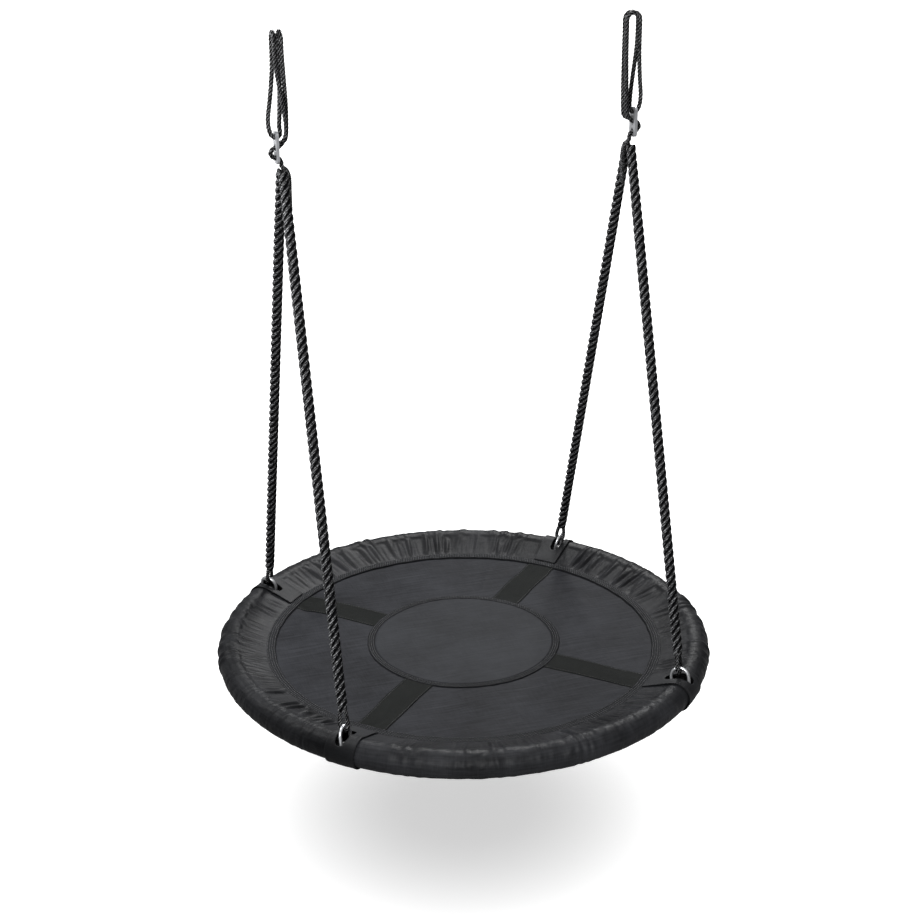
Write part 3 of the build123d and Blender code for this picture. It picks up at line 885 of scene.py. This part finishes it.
def billow(points, part, theta, hold):
    """Lifts soft folds over the upper side of the sleeve."""
    phase = (71 * theta + 3.4 * cover_phase(theta)
             + (1.6 + 0.8 * cover_slow(theta)) * np.sin(6.5 * part + 2.5 * cover_slow(theta)))
    folds = (np.sin(phase) * (0.55 + 0.75 * cover_slow(theta + 0.7))
             + 0.35 * np.sin(1.9 * phase + 3 * cover_phase(theta))
             + 0.25 * cover_fine(theta + 0.2 * part))
    lift = (np.maximum(1.9 * folds, -0.5) * bell(part, 0.40, 0.21) * hold).ravel()
    radius = np.hypot(points[:, 0], points[:, 1])
    out, z = radius - RING_R, points[:, 2]
    distance = np.maximum(np.hypot(out, z), 1e-6)
    lift = lift * ease(distance, 60, 30)
    lifted = radius + out / distance * lift
    return np.stack([points[:, 0] / radius * lifted, points[:, 1] / radius * lifted,
                     z + z / distance * lift], -1)


def rim_cover(quad, angle):
    start, end = angle - 45, angle + 45
    degrees = np.linspace(start + COVER_GAP, end - COVER_GAP, COVER_SHAPE[1])
    part, theta = np.meshgrid(COVER_LENGTH / COVER_LENGTH[-1], np.radians(degrees), indexing="ij")
    away = np.minimum(degrees - start, end - degrees)
    hold = ease(away, 3.9, 9.5)[None, :]      # no folds near the ends
    radius, z = cover_start(part, theta, hold)
    points = np.stack([radius * np.cos(theta), radius * np.sin(theta), z], -1).reshape(-1, 3)
    faces = grid(*COVER_SHAPE)[0]
    points = gather(points, faces, theta, away)
    points = billow(points, part, theta, hold)
    uv = np.stack([(theta - theta[:, :1]) * COVER_UV_R, COVER_LENGTH[:, None] + 0 * theta], -1)
    ob = make(f"gathered_rim_cover_{quad}", points, faces, (uv.reshape(-1, 2) * MM)[faces],
              COVER_FABRIC)
    add_subdivision(ob)
    add_solidify(ob, thickness=0.0009)
    apply_modifiers(ob)
    assign(ob, "seat", "cover_fabric", f"rim_cover_{quad}")


collider = foam_collider()
for quad_name, quad_angle in QUADS.items():
    rim_cover(quad_name, quad_angle)
discard(collider)

# ---------------------------------------------------------------- straps round the rim
STRAP_SHAPE = (97, 25)       # points round the rim's section, points across the strap
STRAP_HALF_WIDTH = 30.0
STRAP_POINTS, STRAP_NORMALS, STRAP_LENGTH = wrap_profile(
    radius=28.1, upper=(402.5, 2.9), lower=(402.5, -5.2), count=STRAP_SHAPE[0])
# round-ended slot for the link, over the top of the rim
SLOT_HALF_LENGTH, SLOT_HALF_WIDTH = 30.5, 10.4
SLOT_BACKSET = 5.5           # slot middle before the top of the rim, along the strap
SLOT_SIDESTEP = 4.9          # slot middle off the strap's middle
SLOT_POWER = 3.2             # roundness of the slot's outline
STRAP_EDGE_STITCH_W = 26.5
STRAP_END_ROWS = (9.0, 13.0)      # lengths along the strap of the rows across its inner end
STRAP_END_HALF_ROW = 24.0


def strap_point(along, lift, theta):
    """Points and outward normals at lengths along the strap's section, lifted off it."""
    r, z, normal_r, normal_z = (np.interp(along, STRAP_LENGTH, column)
                                for column in (*STRAP_POINTS.T, *STRAP_NORMALS.T))
    r, z = r + normal_r * lift, z + normal_z * lift
    return (np.stack([r * np.cos(theta), r * np.sin(theta), z], -1),
            np.stack([normal_r * np.cos(theta), normal_r * np.sin(theta), normal_z], -1))


def slot_outline(along, across, side):
    """Cuts the slot: returns the kept cells, the moved points and their slot distance."""
    middle_s = STRAP_LENGTH[np.argmax(STRAP_POINTS[:, 1])] - SLOT_BACKSET
    middle_w = -side * SLOT_SIDESTEP
    distance = (np.abs((along - middle_s) / SLOT_HALF_LENGTH) ** SLOT_POWER
                + np.abs((across - middle_w) / SLOT_HALF_WIDTH) ** SLOT_POWER) ** (1 / SLOT_POWER)
    inside = distance < 1.0
    keep = ~(inside[:-1, :-1] | inside[1:, :-1] | inside[:-1, 1:] | inside[1:, 1:])
    # the first points outside the slot are drawn on to its edge
    cells = np.stack([keep[:-1, :-1], keep[1:, :-1], keep[:-1, 1:], keep[1:, 1:]])
    border = np.zeros(STRAP_SHAPE, bool)
    border[1:-1, 1:-1] = (distance[1:-1, 1:-1] < 2.2) & cells.any(0) & ~cells.all(0)
    along, across = along.copy(), across.copy()
    along[border] = middle_s + (along[border] - middle_s) / distance[border]
    across[border] = middle_w + (across[border] - middle_w) / distance[border]
    return keep, along, across, distance


def end_ease(along):
    """0 at the strap's seams, 1 away from them."""
    return ease(np.minimum(along, STRAP_LENGTH[-1] - along), 0, 9)


def rope_strap(corner, degrees):
    """Strap wrapped round the rim at a rope point. Returns its stitch rows."""
    angle = math.radians(degrees)
    side = math.copysign(1.0, math.cos(angle)) * math.copysign(1.0, math.sin(angle))
    along, across = np.meshgrid(
        STRAP_LENGTH, np.linspace(-STRAP_HALF_WIDTH, STRAP_HALF_WIDTH, STRAP_SHAPE[1]),
        indexing="ij")
    keep, along, across, distance = slot_outline(along, across, side)
    width = np.abs(across)
    hem = 0.35 * ease(width, 22.5, 24.5) + 0.15 * bell(distance, 1.12, 0.12)
    part = np.sin(math.pi * along / STRAP_LENGTH[-1])
    stand = 0.4 * ease(width, 20, 30) * ease(part, 0.05, 0.4)
    wave = (0.12 * np.sin(along / 9.0 + degrees) * ease(width, 14, 30)
            + 0.3 * np.sin(across / 11.0 + along / 17.0 + degrees))
    lift = (hem + stand + wave) * end_ease(along)
    points = strap_point(along, lift, angle + across / RING_R)[0].reshape(-1, 3)
    faces = grid(*STRAP_SHAPE)[0][keep.ravel()]
    used, renumbered = np.unique(faces, return_inverse=True)
    uv = np.stack([across, along], -1).reshape(-1, 2) * MM
    ob = make(f"folded_rope_strap_{corner}", points[used], renumbered.reshape(faces.shape),
              uv[faces], RIM_STRAP)
    add_solidify(ob, thickness=0.0018)
    add_subdivision(ob)
    apply_modifiers(ob)
    assign(ob, "seat", "rim_strap", f"rope_strap_{corner}")

    rows = []
    along = STRAP_LENGTH[3:-3]
    for across in (-STRAP_EDGE_STITCH_W, STRAP_EDGE_STITCH_W):
        theta = np.full(len(along), angle + across / RING_R)
        rows.append((*strap_point(along, 0.3 + 0.9 * end_ease(along), theta), False))
    theta = angle + np.linspace(-STRAP_END_HALF_ROW, STRAP_END_HALF_ROW, 40) / RING_R
    for row in STRAP_END_ROWS:
        rows.append((*strap_point(np.full(40, row), 0.9, theta), False))
    return rows


stitch_rows = []
for corner_name, corner_angle in CORNERS.items():
    stitch_rows += rope_strap(corner_name, corner_angle)
stitches("rope_strap_stitches", stitch_rows, THREAD, "rim_strap")


# ---------------------------------------------------------------- laid rope
def resample(points, step):
    """Evenly spaced points on a line, and their lengths along it."""
    points = np.asarray(points, float)
    length = path_length(points)
    count = max(3, int(round(length[-1] / step)) + 1)
    at = np.linspace(0, length[-1], count)
    return np.stack([np.interp(at, length, points[:, c]) for c in range(3)], -1), at


def spline(points, steps=10):
    """Centripetal Catmull-Rom curve through the points."""
    knots = [np.array(point, float) for point in points]
    knots = [2 * knots[0] - knots[1]] + knots + [2 * knots[-1] - knots[-2]]

    def between(a, b, ta, tb, t):
        return (tb - t) / (tb - ta) * a + (t - ta) / (tb - ta) * b

    curve = []
    for i in range(1, len(knots) - 2):
        p0, p1, p2, p3 = knots[i - 1:i + 3]
        t0 = 0.0
        t1 = t0 + np.linalg.norm(p1 - p0) ** 0.5
        t2 = t1 + np.linalg.norm(p2 - p1) ** 0.5
        t3 = t2 + np.linalg.norm(p3 - p2) ** 0.5
        for t in np.linspace(t1, t2, steps, endpoint=False):
            a1 = between(p0, p1, t0, t1, t)
            a2 = between(p1, p2, t1, t2, t)
            a3 = between(p2, p3, t2, t3, t)
            b1 = between(a1, a2, t0, t2, t)
            b2 = between(a2, a3, t1, t3, t)
            curve.append(between(b1, b2, t1, t2, t))
    curve.append(knots[-2])
    return np.array(curve)


def line_frames(line):
    """Two unit normals at each point of a line, turning as little as possible."""
    along = unit_rows(np.gradient(line, axis=0))
    normals = []
    previous = np.array([0.3, 1.0, 0.2])
    for direction in along:
        normal = previous - direction * (previous @ direction)
        previous = normal / np.linalg.norm(normal)
        normals.append(previous)
    normals = np.array(normals)
    return normals, np.cross(along, normals)


class Rope:
    """Four-strand laid rope along a line. lay: length of one turn. sides: of a strand."""

    def __init__(self, line, radius, lay, sides, scale=1.0, start_phase=0.0):
        self.sides = sides
        normal, binormal = line_frames(line)
        steps = np.concatenate([[0], np.linalg.norm(np.diff(line, axis=0), axis=1)])
        phase = start_phase + np.cumsum(steps / lay) * TAU
        radius = np.broadcast_to(radius * scale, (len(line),))[:, None]
        # strands are oval: deeper from the rope's axis than they are wide
        offset, depth, width = radius * 0.565, radius * 0.425, radius * 0.385
        turn = np.linspace(0, TAU, sides, endpoint=False)[None, :, None]
        self.strands = []
        for k in range(4):
            angle = (phase + TAU * k / 4)[:, None]
            outward = np.cos(angle) * normal + np.sin(angle) * binormal
            centre = line + offset * outward
            along = unit_rows(np.gradient(centre, axis=0))
            across = unit_rows(outward - along * (outward * along).sum(1)[:, None])
            beside = np.cross(along, across)
            rings = (centre[:, None, :]
                     + depth[:, None] * np.cos(turn) * across[:, None, :]
                     + width[:, None] * np.sin(turn) * beside[:, None, :])
            self.strands.append((rings, centre, along, path_length(centre)))

    def piece(self, name, first, last, material, dome=(0.0, 0.0)):
        """Rings first..last of each strand, closed. dome: how far each end bulges."""
        sides = self.sides
        verts, faces, uvs = [], [], []
        base = 0
        for rings, centre, along, length in self.strands:
            section = rings[first:last + 1]
            quads, row, column = grid(len(section), sides, wrap=True)
            verts.append(section.reshape(-1, 3))
            faces += (quads + base).tolist()
            uvs += list(np.stack([column / sides, length[first + row] * MM], -1))
            count = len(section) * sides
            ends = ((0, first, -1.0, dome[0]), (len(section) - 1, last, 1.0, dome[1]))
            for edge, at, sign, bulge in ends:
                ring = base + edge * sides
                if bulge > 0:      # one smaller ring makes the end round
                    verts.append(centre[at] + (section[edge] - centre[at]) * 0.62
                                 + along[at] * sign * bulge * 0.8)
                    inner = base + count
                    for j in range(sides):
                        j2 = (j + 1) % sides
                        u0, u1 = j / sides, (j + 1) / sides
                        faces.append((ring + j, ring + j2, inner + j2, inner + j))
                        uvs.append([[u0, 0], [u1, 0], [u1, 0.002], [u0, 0.002]])
                    ring = inner
                    count += sides
                verts.append((centre[at] + along[at] * sign * bulge)[None, :])
                for j in range(sides):
                    faces.append((ring + j, ring + (j + 1) % sides, base + count))
                    uvs.append([[j / sides, 0], [(j + 1) / sides, 0], [(j + 0.5) / sides, 0.002]])
                count += 1
            base += count
        ob = make(name, np.vstack(verts), faces, uvs, material)
        mesh = bmesh.new()
        mesh.from_mesh(ob.data)
        bmesh.ops.recalc_face_normals(mesh, faces=mesh.faces)
        mesh.to_mesh(ob.data)
        mesh.free()
        shade_smooth(ob.data)
        return ob


# ---------------------------------------------------------------- thin ropes of the hangers
# One thin rope a side: up the tail, round the lower bight, up run 1, over a crown, down run 2,
# round the upper bight, up run 3, over a crown and down run 4.
# Points are (outward from the corner's x, y, z).
THIN_R = 4.5
TAIL_LAY, THIN_LAY = 14.0, 29.0
CROWN_R, CROWN_Z = 13.0, 1232.5
CROWN_FOOT_Z = 1221.5      # the rope is upright from here to the crown
SWAY_Z = 1210.5            # upper end of the runs
TAIL = [(-12.3, 0, 930), (-12.3, 0, 960), (-12.3, 0, 990), (-8.2, 0, 1002.2), (-1.0, 0, 1008.6),
        (0.4, 0, 1011.5)]
LOWER_BIGHT = [(0.4, 0, 1016.0), (3.0, 0, 1022.6), (8, 0, 1025), (14.5, 0, 1026.8),
               (19.2, 0, 1034.5), (14.5, 0, 1042.2), (8, 0, 1044), (2.5, -0.6, 1046.6),
               (-3.2, -2.2, 1053)]
UPPER_BIGHT = [(19.6, 0, 1076), (15, 0, 1065.2), (8, 0, 1062.2), (2.6, 0.4, 1063.8),
               (-0.1, 2.0, 1070.5), (0.6, 3.2, 1080)]
# runs 1 to 4 of each side, from their lower ends up
RUNS = {
    "left": (
        [(-8.0, -4.4, 1063), (-9.8, -6.2, 1080), (-5, -9.0, 1120), (3.5, -12.2, 1175),
         (6, -13, SWAY_Z)],
        [(21.0, 0, 1091.5), (19.5, 2, 1103), (14, 7.5, 1130), (7.5, 12.2, 1175),
         (6, 13, SWAY_Z)],
        [(-1.5, 5.5, 1105), (-5.2, 11.5, 1160), (-6, 13, SWAY_Z)],
        [(1.0, 7.4, 1050.5), (-5.0, 7.2, 1051.5), (-10.2, 6.4, 1057.5), (-11.6, 5.6, 1066),
         (-12.6, 4.6, 1085), (-11.9, -0.6, 1120), (-7.8, -10.6, 1175), (-6, -13, SWAY_Z)],
    ),
    "right": (
        [(-8.0, -4.4, 1063), (-10.2, -6.0, 1080), (-11.5, -6.2, 1120), (-12.8, -5.4, 1175),
         (-13, -5.2, SWAY_Z)],
        [(21.0, 0, 1091.5), (20.0, -0.8, 1103), (16.5, -3, 1130), (13.3, -5.0, 1175),
         (13, -5.2, SWAY_Z)],
        [(3.4, 4.6, 1110), (9.2, 5.4, 1155), (12.2, 5.3, 1185), (13, 5.2, SWAY_Z)],
        [(1.0, 7.4, 1050.5), (-5.0, 7.2, 1051.5), (-10.0, 6.6, 1057.5), (-11.2, 6.0, 1066),
         (-12.2, 5.8, 1085), (-13.0, 5.3, 1120), (-13.2, 5.2, 1175), (-13, 5.2, SWAY_Z)],
    ),
}
# heights where the rope is cut into pieces; run 4 keeps its free end
TAIL_CUT_Z, SWAY_CUT_Z, SHOULDER_CUT_Z = 1011.0, 1203.0, 1221.0
RUN_CUT_Z = (1053.5, 1091.5, 1079.5, None)


def crown(start, end):
    """Half turn over the top between two runs, with its upright feet."""
    start, end = np.array(start[:2], float), np.array(end[:2], float)
    middle = (start + end) / 2
    points = [(*start, CROWN_FOOT_Z)]
    for angle in np.linspace(0, math.pi, 17):
        place = middle + (start - middle) * math.cos(angle)
        points.append((*place, CROWN_Z + CROWN_R * math.sin(angle)))
    return points + [(*end, CROWN_FOOT_Z)]


def hanger_line(side):
    """The whole thin rope of one side, from its tail to its free end."""
    up1, up2, up3, up4 = RUNS[side]
    return (TAIL + LOWER_BIGHT + up1 + crown(up1[-1], up2[-1]) + up2[::-1]
            + UPPER_BIGHT + up3 + crown(up3[-1], up4[-1]) + up4[::-1])


def hanger_cuts(z, at):
    """Point numbers of the tail's end, and of (lower, sway, shoulder) cuts of each run."""
    half = at[-1] * 0.5
    top1 = int(np.argmax(np.where(at < half, z, -1)))
    top2 = int(np.argmax(np.where(at > half, z, -1)))
    low = top1 + int(np.argmin(z[top1:top2]))
    last = len(z) - 1

    def crossing(start, end, level):
        return start + int(np.argmin(np.abs(z[start:end + 1] - level)))

    tail_end = crossing(0, top1, TAIL_CUT_Z)
    spans = ((tail_end, top1), (top1, low), (low, top2), (top2, last))
    runs = [(last if lower_z is None else crossing(*span, lower_z),
             crossing(*span, SWAY_CUT_Z), crossing(*span, SHOULDER_CUT_Z))
            for span, lower_z in zip(spans, RUN_CUT_Z)]
    return tail_end, runs


def hanger(side, sign):
    line, at = resample(spline([(sign * (CORNER_XY + out), y, z)
                                for out, y, z in hanger_line(side)]), 1.7)
    lay = np.interp(at, [78, 100], [TAIL_LAY, THIN_LAY])
    rope = Rope(line, THIN_R, lay, sides=10)
    tail_end, runs = hanger_cuts(line[:, 2], at)
    adjuster = f"{side}_adjuster"

    def blended(part, cuts, replaced, dome=(0, 0)):
        ob = rope.piece(f"{side}_laid_{part}", *sorted(cuts), THIN_ROPE, dome)
        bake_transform(ob)
        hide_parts(f"{side}_{replaced}")

    blended("pull_rope", (0, tail_end), "pull_rope",
            dome=(1.5, 0))
    for part, first, last in (("lower_bight", tail_end, runs[0][0]),
                              ("upper_bight", runs[1][0], runs[2][0])):
        ob = rope.piece(f"{side}_laid_{part}", first, last, THIN_ROPE)
        assign(ob, adjuster, "thin_rope", f"{side}_{part}")
    for k, (lower, sway, _) in enumerate(runs, 1):
        blended(f"run_{k}", (lower, sway),
                f"loop_{'a' if k < 3 else 'b'}_strands", dome=(0, 2.0 if k == 4 else 0))
    for k, (_, sway, shoulder) in enumerate(runs, 1):
        blended(f"shoulder_{k}", (sway, shoulder),
                "loop_shoulders")
    for k in (1, 2):
        blended(f"crown_{k}", (runs[2 * k - 2][2], runs[2 * k - 1][2]),
                "loop_crowns")


# ---------------------------------------------------------------- thick ropes with their eyes
LEG_TOP_Y, LEG_TOP_Z = 9.6, 1000.0
THICK_R, THICK_LAY = 10.4, 62.0
EYE_R, EYE_LAY = 4.3, 24.0
EYE_BOTTOM = 45.0           # start of the eye's half turn, along the leg from the rim's centre
EYE_HALF_WIDTH = 8.0
ROPE_START = EYE_BOTTOM + 27.0
# one leg of the eye from its top down: half width, height over EYE_BOTTOM
EYE_LEG = [(3.6, 39), (4.6, 31), (6.6, 20), (EYE_HALF_WIDTH, 8), (EYE_HALF_WIDTH, 0)]


def leg_rope(side, side_sign, end, end_sign):
    """Rope from a rope point up to the hanger, and the eye spliced at its foot."""
    foot = np.array([side_sign * CORNER_XY, end_sign * CORNER_XY, 0.0])
    head = np.array([side_sign * CORNER_XY, end_sign * LEG_TOP_Y, LEG_TOP_Z])
    length = np.linalg.norm(head - foot)
    up = (head - foot) / length
    tangent = np.array([-foot[1], foot[0], 0.0])
    tangent /= np.linalg.norm(tangent)
    across = tangent - up * (tangent @ up)
    across /= np.linalg.norm(across)

    def on_leg(width, height):
        return foot + across * width + up * height

    line, at = resample([on_leg(0, ROPE_START), on_leg(0, length)], 2.4)
    # thinner at both ends
    scale = np.interp(at, [0, 5, 14, at[-1] - 160, at[-1] - 4, at[-1]],
                      [0.78, 0.90, 1.0, 1.0, 0.92, 0.88])
    rope = Rope(line, THICK_R, THICK_LAY, sides=16, scale=scale,
                start_phase=1.6 if end == "front" else 0.7)
    ob = rope.piece(f"{side}_{end}_laid_rope", 0, len(line) - 1, THICK_ROPE, dome=(2.5, 1.0))
    assign(ob, f"{side}_ropes", "thick_rope", f"{side}_{end}_rope")

    loop = [on_leg(-width, EYE_BOTTOM + rise) for width, rise in EYE_LEG]
    for angle in np.linspace(0, math.pi, 9)[1:-1]:
        loop.append(on_leg(-EYE_HALF_WIDTH * math.cos(angle),
                           EYE_BOTTOM - EYE_HALF_WIDTH * math.sin(angle)))
    loop += [on_leg(width, EYE_BOTTOM + rise) for width, rise in EYE_LEG[::-1]]
    line, at = resample(spline(loop), 1.5)
    ob = Rope(line, EYE_R, EYE_LAY, sides=10).piece(
        f"{side}_{end}_spliced_eye", 0, len(line) - 1, THICK_ROPE, dome=(1, 1))
    assign(ob, f"{side}_ropes", "thick_rope", f"{side}_{end}_rope")


for side_name, side_sign in SIDES.items():
    hanger(side_name, side_sign)
    for end_name, end_sign in (("front", -1.0), ("back", 1.0)):
        leg_rope(side_name, side_sign, end_name, end_sign)

# ---------------------------------------------------------------- floor and world
FLOOR_HALF, FLOOR_Z = 60000.0, -400.0


def floor_material():
    """White to the camera, grey to other rays, and clear from below to show the underside."""
    g = MaterialGraph("floor_white")
    cloud = g.noise(g.coords(), scale=0.6, detail=2.0, rough=0.5)
    seen = g.camera_ray()
    white = g.mix(cloud, (0.80, 0.80, 0.80), (0.82, 0.82, 0.82))
    diffuse = g.new("ShaderNodeBsdfDiffuse")
    g.link(g.mix(seen, (0.26, 0.26, 0.26), white), diffuse.inputs["Color"])
    glow = g.new("ShaderNodeEmission")
    g.link(g.math("MULTIPLY", seen, 0.55), glow.inputs["Strength"])
    upper = g.new("ShaderNodeAddShader")
    g.link(diffuse.outputs[0], upper.inputs[0])
    g.link(glow.outputs[0], upper.inputs[1])
    below = g.new("ShaderNodeNewGeometry").outputs["Backfacing"]
    clear = g.new("ShaderNodeBsdfTransparent")
    surface = g.new("ShaderNodeMixShader")
    for socket, source in zip(surface.inputs, (below, upper.outputs[0], clear.outputs[0])):
        g.link(source, socket)
    g.link(surface.outputs[0], g.tree.nodes["Material Output"].inputs["Surface"])
    return g.material


def studio_world():
    """White to the camera; a dim vertical gradient lights the swing."""
    world = bpy.data.worlds.new("studio")
    bpy.context.scene.world = world
    world.use_nodes = True
    g = Graph(world.node_tree)
    height = g.split(g.coords("Generated"))[2]
    ramp = g.new("ShaderNodeValToRGB")
    elements = ramp.color_ramp.elements
    # all three handles are taken before any is set; adding a stop re-sorts the ramp
    handles = (elements[0], elements[1], elements.new(0.5))
    for stop, (position, grey) in zip(handles, ((0.0, 0.05), (1.0, 0.10), (0.30, 0.06))):
        stop.position = position
        stop.color = (grey, grey, grey, 1)
    g.link(height, ramp.inputs[0])
    background = g.tree.nodes["Background"]
    color = g.mix(g.camera_ray(), ramp.outputs["Color"], (1, 1, 1))
    g.link(color, background.inputs["Color"])
    background.inputs["Strength"].default_value = 1.0


floor = make("floor", [(x * FLOOR_HALF, y * FLOOR_HALF, FLOOR_Z)
                       for x, y in ((-1, -1), (1, -1), (1, 1), (-1, 1))],
             [(0, 1, 2, 3)], smooth=False)
floor.data.materials.append(floor_material())
studio_world()


# ---------------------------------------------------------------- lamps
def lamp(name, kind, power, backward, **settings):
    """Lamp with its back turned along backward."""
    data = bpy.data.lights.new(name, kind)
    data.energy = power
    for key, value in settings.items():
        setattr(data, key, value)
    ob = link_object(name, data)
    ob.rotation_mode = "QUATERNION"
    ob.rotation_quaternion = Vector(backward).to_track_quat("Z", "Y")
    return ob


def sun(name, direction, power, degrees):
    return lamp(name, "SUN", power, direction, angle=math.radians(degrees))


def area(name, place, target, power, size):
    """Place, target and size in metres."""
    ob = lamp(name, "AREA", power, Vector(place) - Vector(target), size=size)
    ob.location = place
    return ob


def receivers(name, objects):
    collection = bpy.data.collections.new(name)
    for ob in objects:
        collection.objects.link(ob)
    return collection


def meshes_named(*parts):
    return [ob for ob in bpy.context.scene.objects
            if ob.type == "MESH" and any(part in ob.name for part in parts)]


# one wide lamp overhead makes the pale contact shadow on the floor; the rest spare the floor
floor_lamp = sun("floor_lamp", direction=(0.0, 0.0, 1.0), power=3.1, degrees=88)
floor_lamp.light_linking.receiver_collection = receivers("floor_lamp_on", [floor])
all_but_floor = receivers("swing_lamps_on", [floor])
all_but_floor.collection_objects[0].light_linking.link_state = "EXCLUDE"
for swing_lamp in (
    sun("top", direction=(0.1, 0.3, 1.0), power=0.25, degrees=50),
    area("key", place=(1.2, 2.35, 2.3), target=(0, 0, 0.0), power=82, size=0.8),
    area("left", place=(-0.95, 0.5, 1.25), target=(-0.3, 0, 0.0), power=12, size=0.5),
):
    swing_lamp.light_linking.receiver_collection = all_but_floor

# the ropes and their zinc parts get a front lamp of their own
ropes_only = receivers("rope_lamp_on", meshes_named("_laid_", "_spliced_eye", "_link", "_plate"))
rope_lamp = area("rope_front", place=(-2.2, -1.9, 1.7), target=(0, 0, 0.5), power=110, size=0.5)
rope_lamp.light_linking.receiver_collection = ropes_only

# the front of the rim cover is shaded from the lamps behind, and gets a soft fill
front_only = receivers("front_fill_on", meshes_named("cover_front"))
fill_lamp = area("front_fill", place=(-0.75, -2.3, 1.2), target=(0, -0.45, 0), power=60, size=1.2)
fill_lamp.light_linking.receiver_collection = front_only

# ---------------------------------------------------------------- camera
CAMERA_AZIMUTH, CAMERA_ELEVATION = math.radians(-18.0), math.radians(28.3)
CAMERA_YAW, CAMERA_PITCH, CAMERA_ROLL = (math.radians(a) for a in (-0.08, 5.88, -0.35))
CAMERA_DISTANCE = 3600.0
CAMERA_LENS, SENSOR_WIDTH = 68.0869565, 36.0


def turn_pair(first, second, angle):
    """Turns two perpendicular directions, the first towards the second."""
    cos, sin = math.cos(angle), math.sin(angle)
    return first * cos + second * sin, second * cos - first * sin


def camera():
    """In front and to the left, above the seat; aimed from the origin by yaw, pitch and roll."""
    level = math.cos(CAMERA_ELEVATION)
    outward = np.array([math.sin(CAMERA_AZIMUTH) * level, -math.cos(CAMERA_AZIMUTH) * level,
                        math.sin(CAMERA_ELEVATION)])
    right = np.array([math.cos(CAMERA_AZIMUTH), math.sin(CAMERA_AZIMUTH), 0.0])
    up = np.cross(outward, right)
    forward, right = turn_pair(-outward, right, CAMERA_YAW)
    forward, up = turn_pair(forward, up, CAMERA_PITCH)
    right, up = turn_pair(right, up, CAMERA_ROLL)
    pose = np.eye(4)
    pose[:3] = np.stack([right, up, -forward, outward * CAMERA_DISTANCE * MM], -1)
    data = bpy.data.cameras.new("camera")
    ob = link_object("camera", data)
    ob.matrix_world = Matrix(pose.tolist())
    data.sensor_width = SENSOR_WIDTH
    data.lens = CAMERA_LENS
    data.clip_start = 0.05
    data.clip_end = 500
    bpy.context.scene.camera = ob


camera()
bpy.context.scene.view_settings.view_transform = "Standard"
bpy.context.scene.view_settings.look = "None"
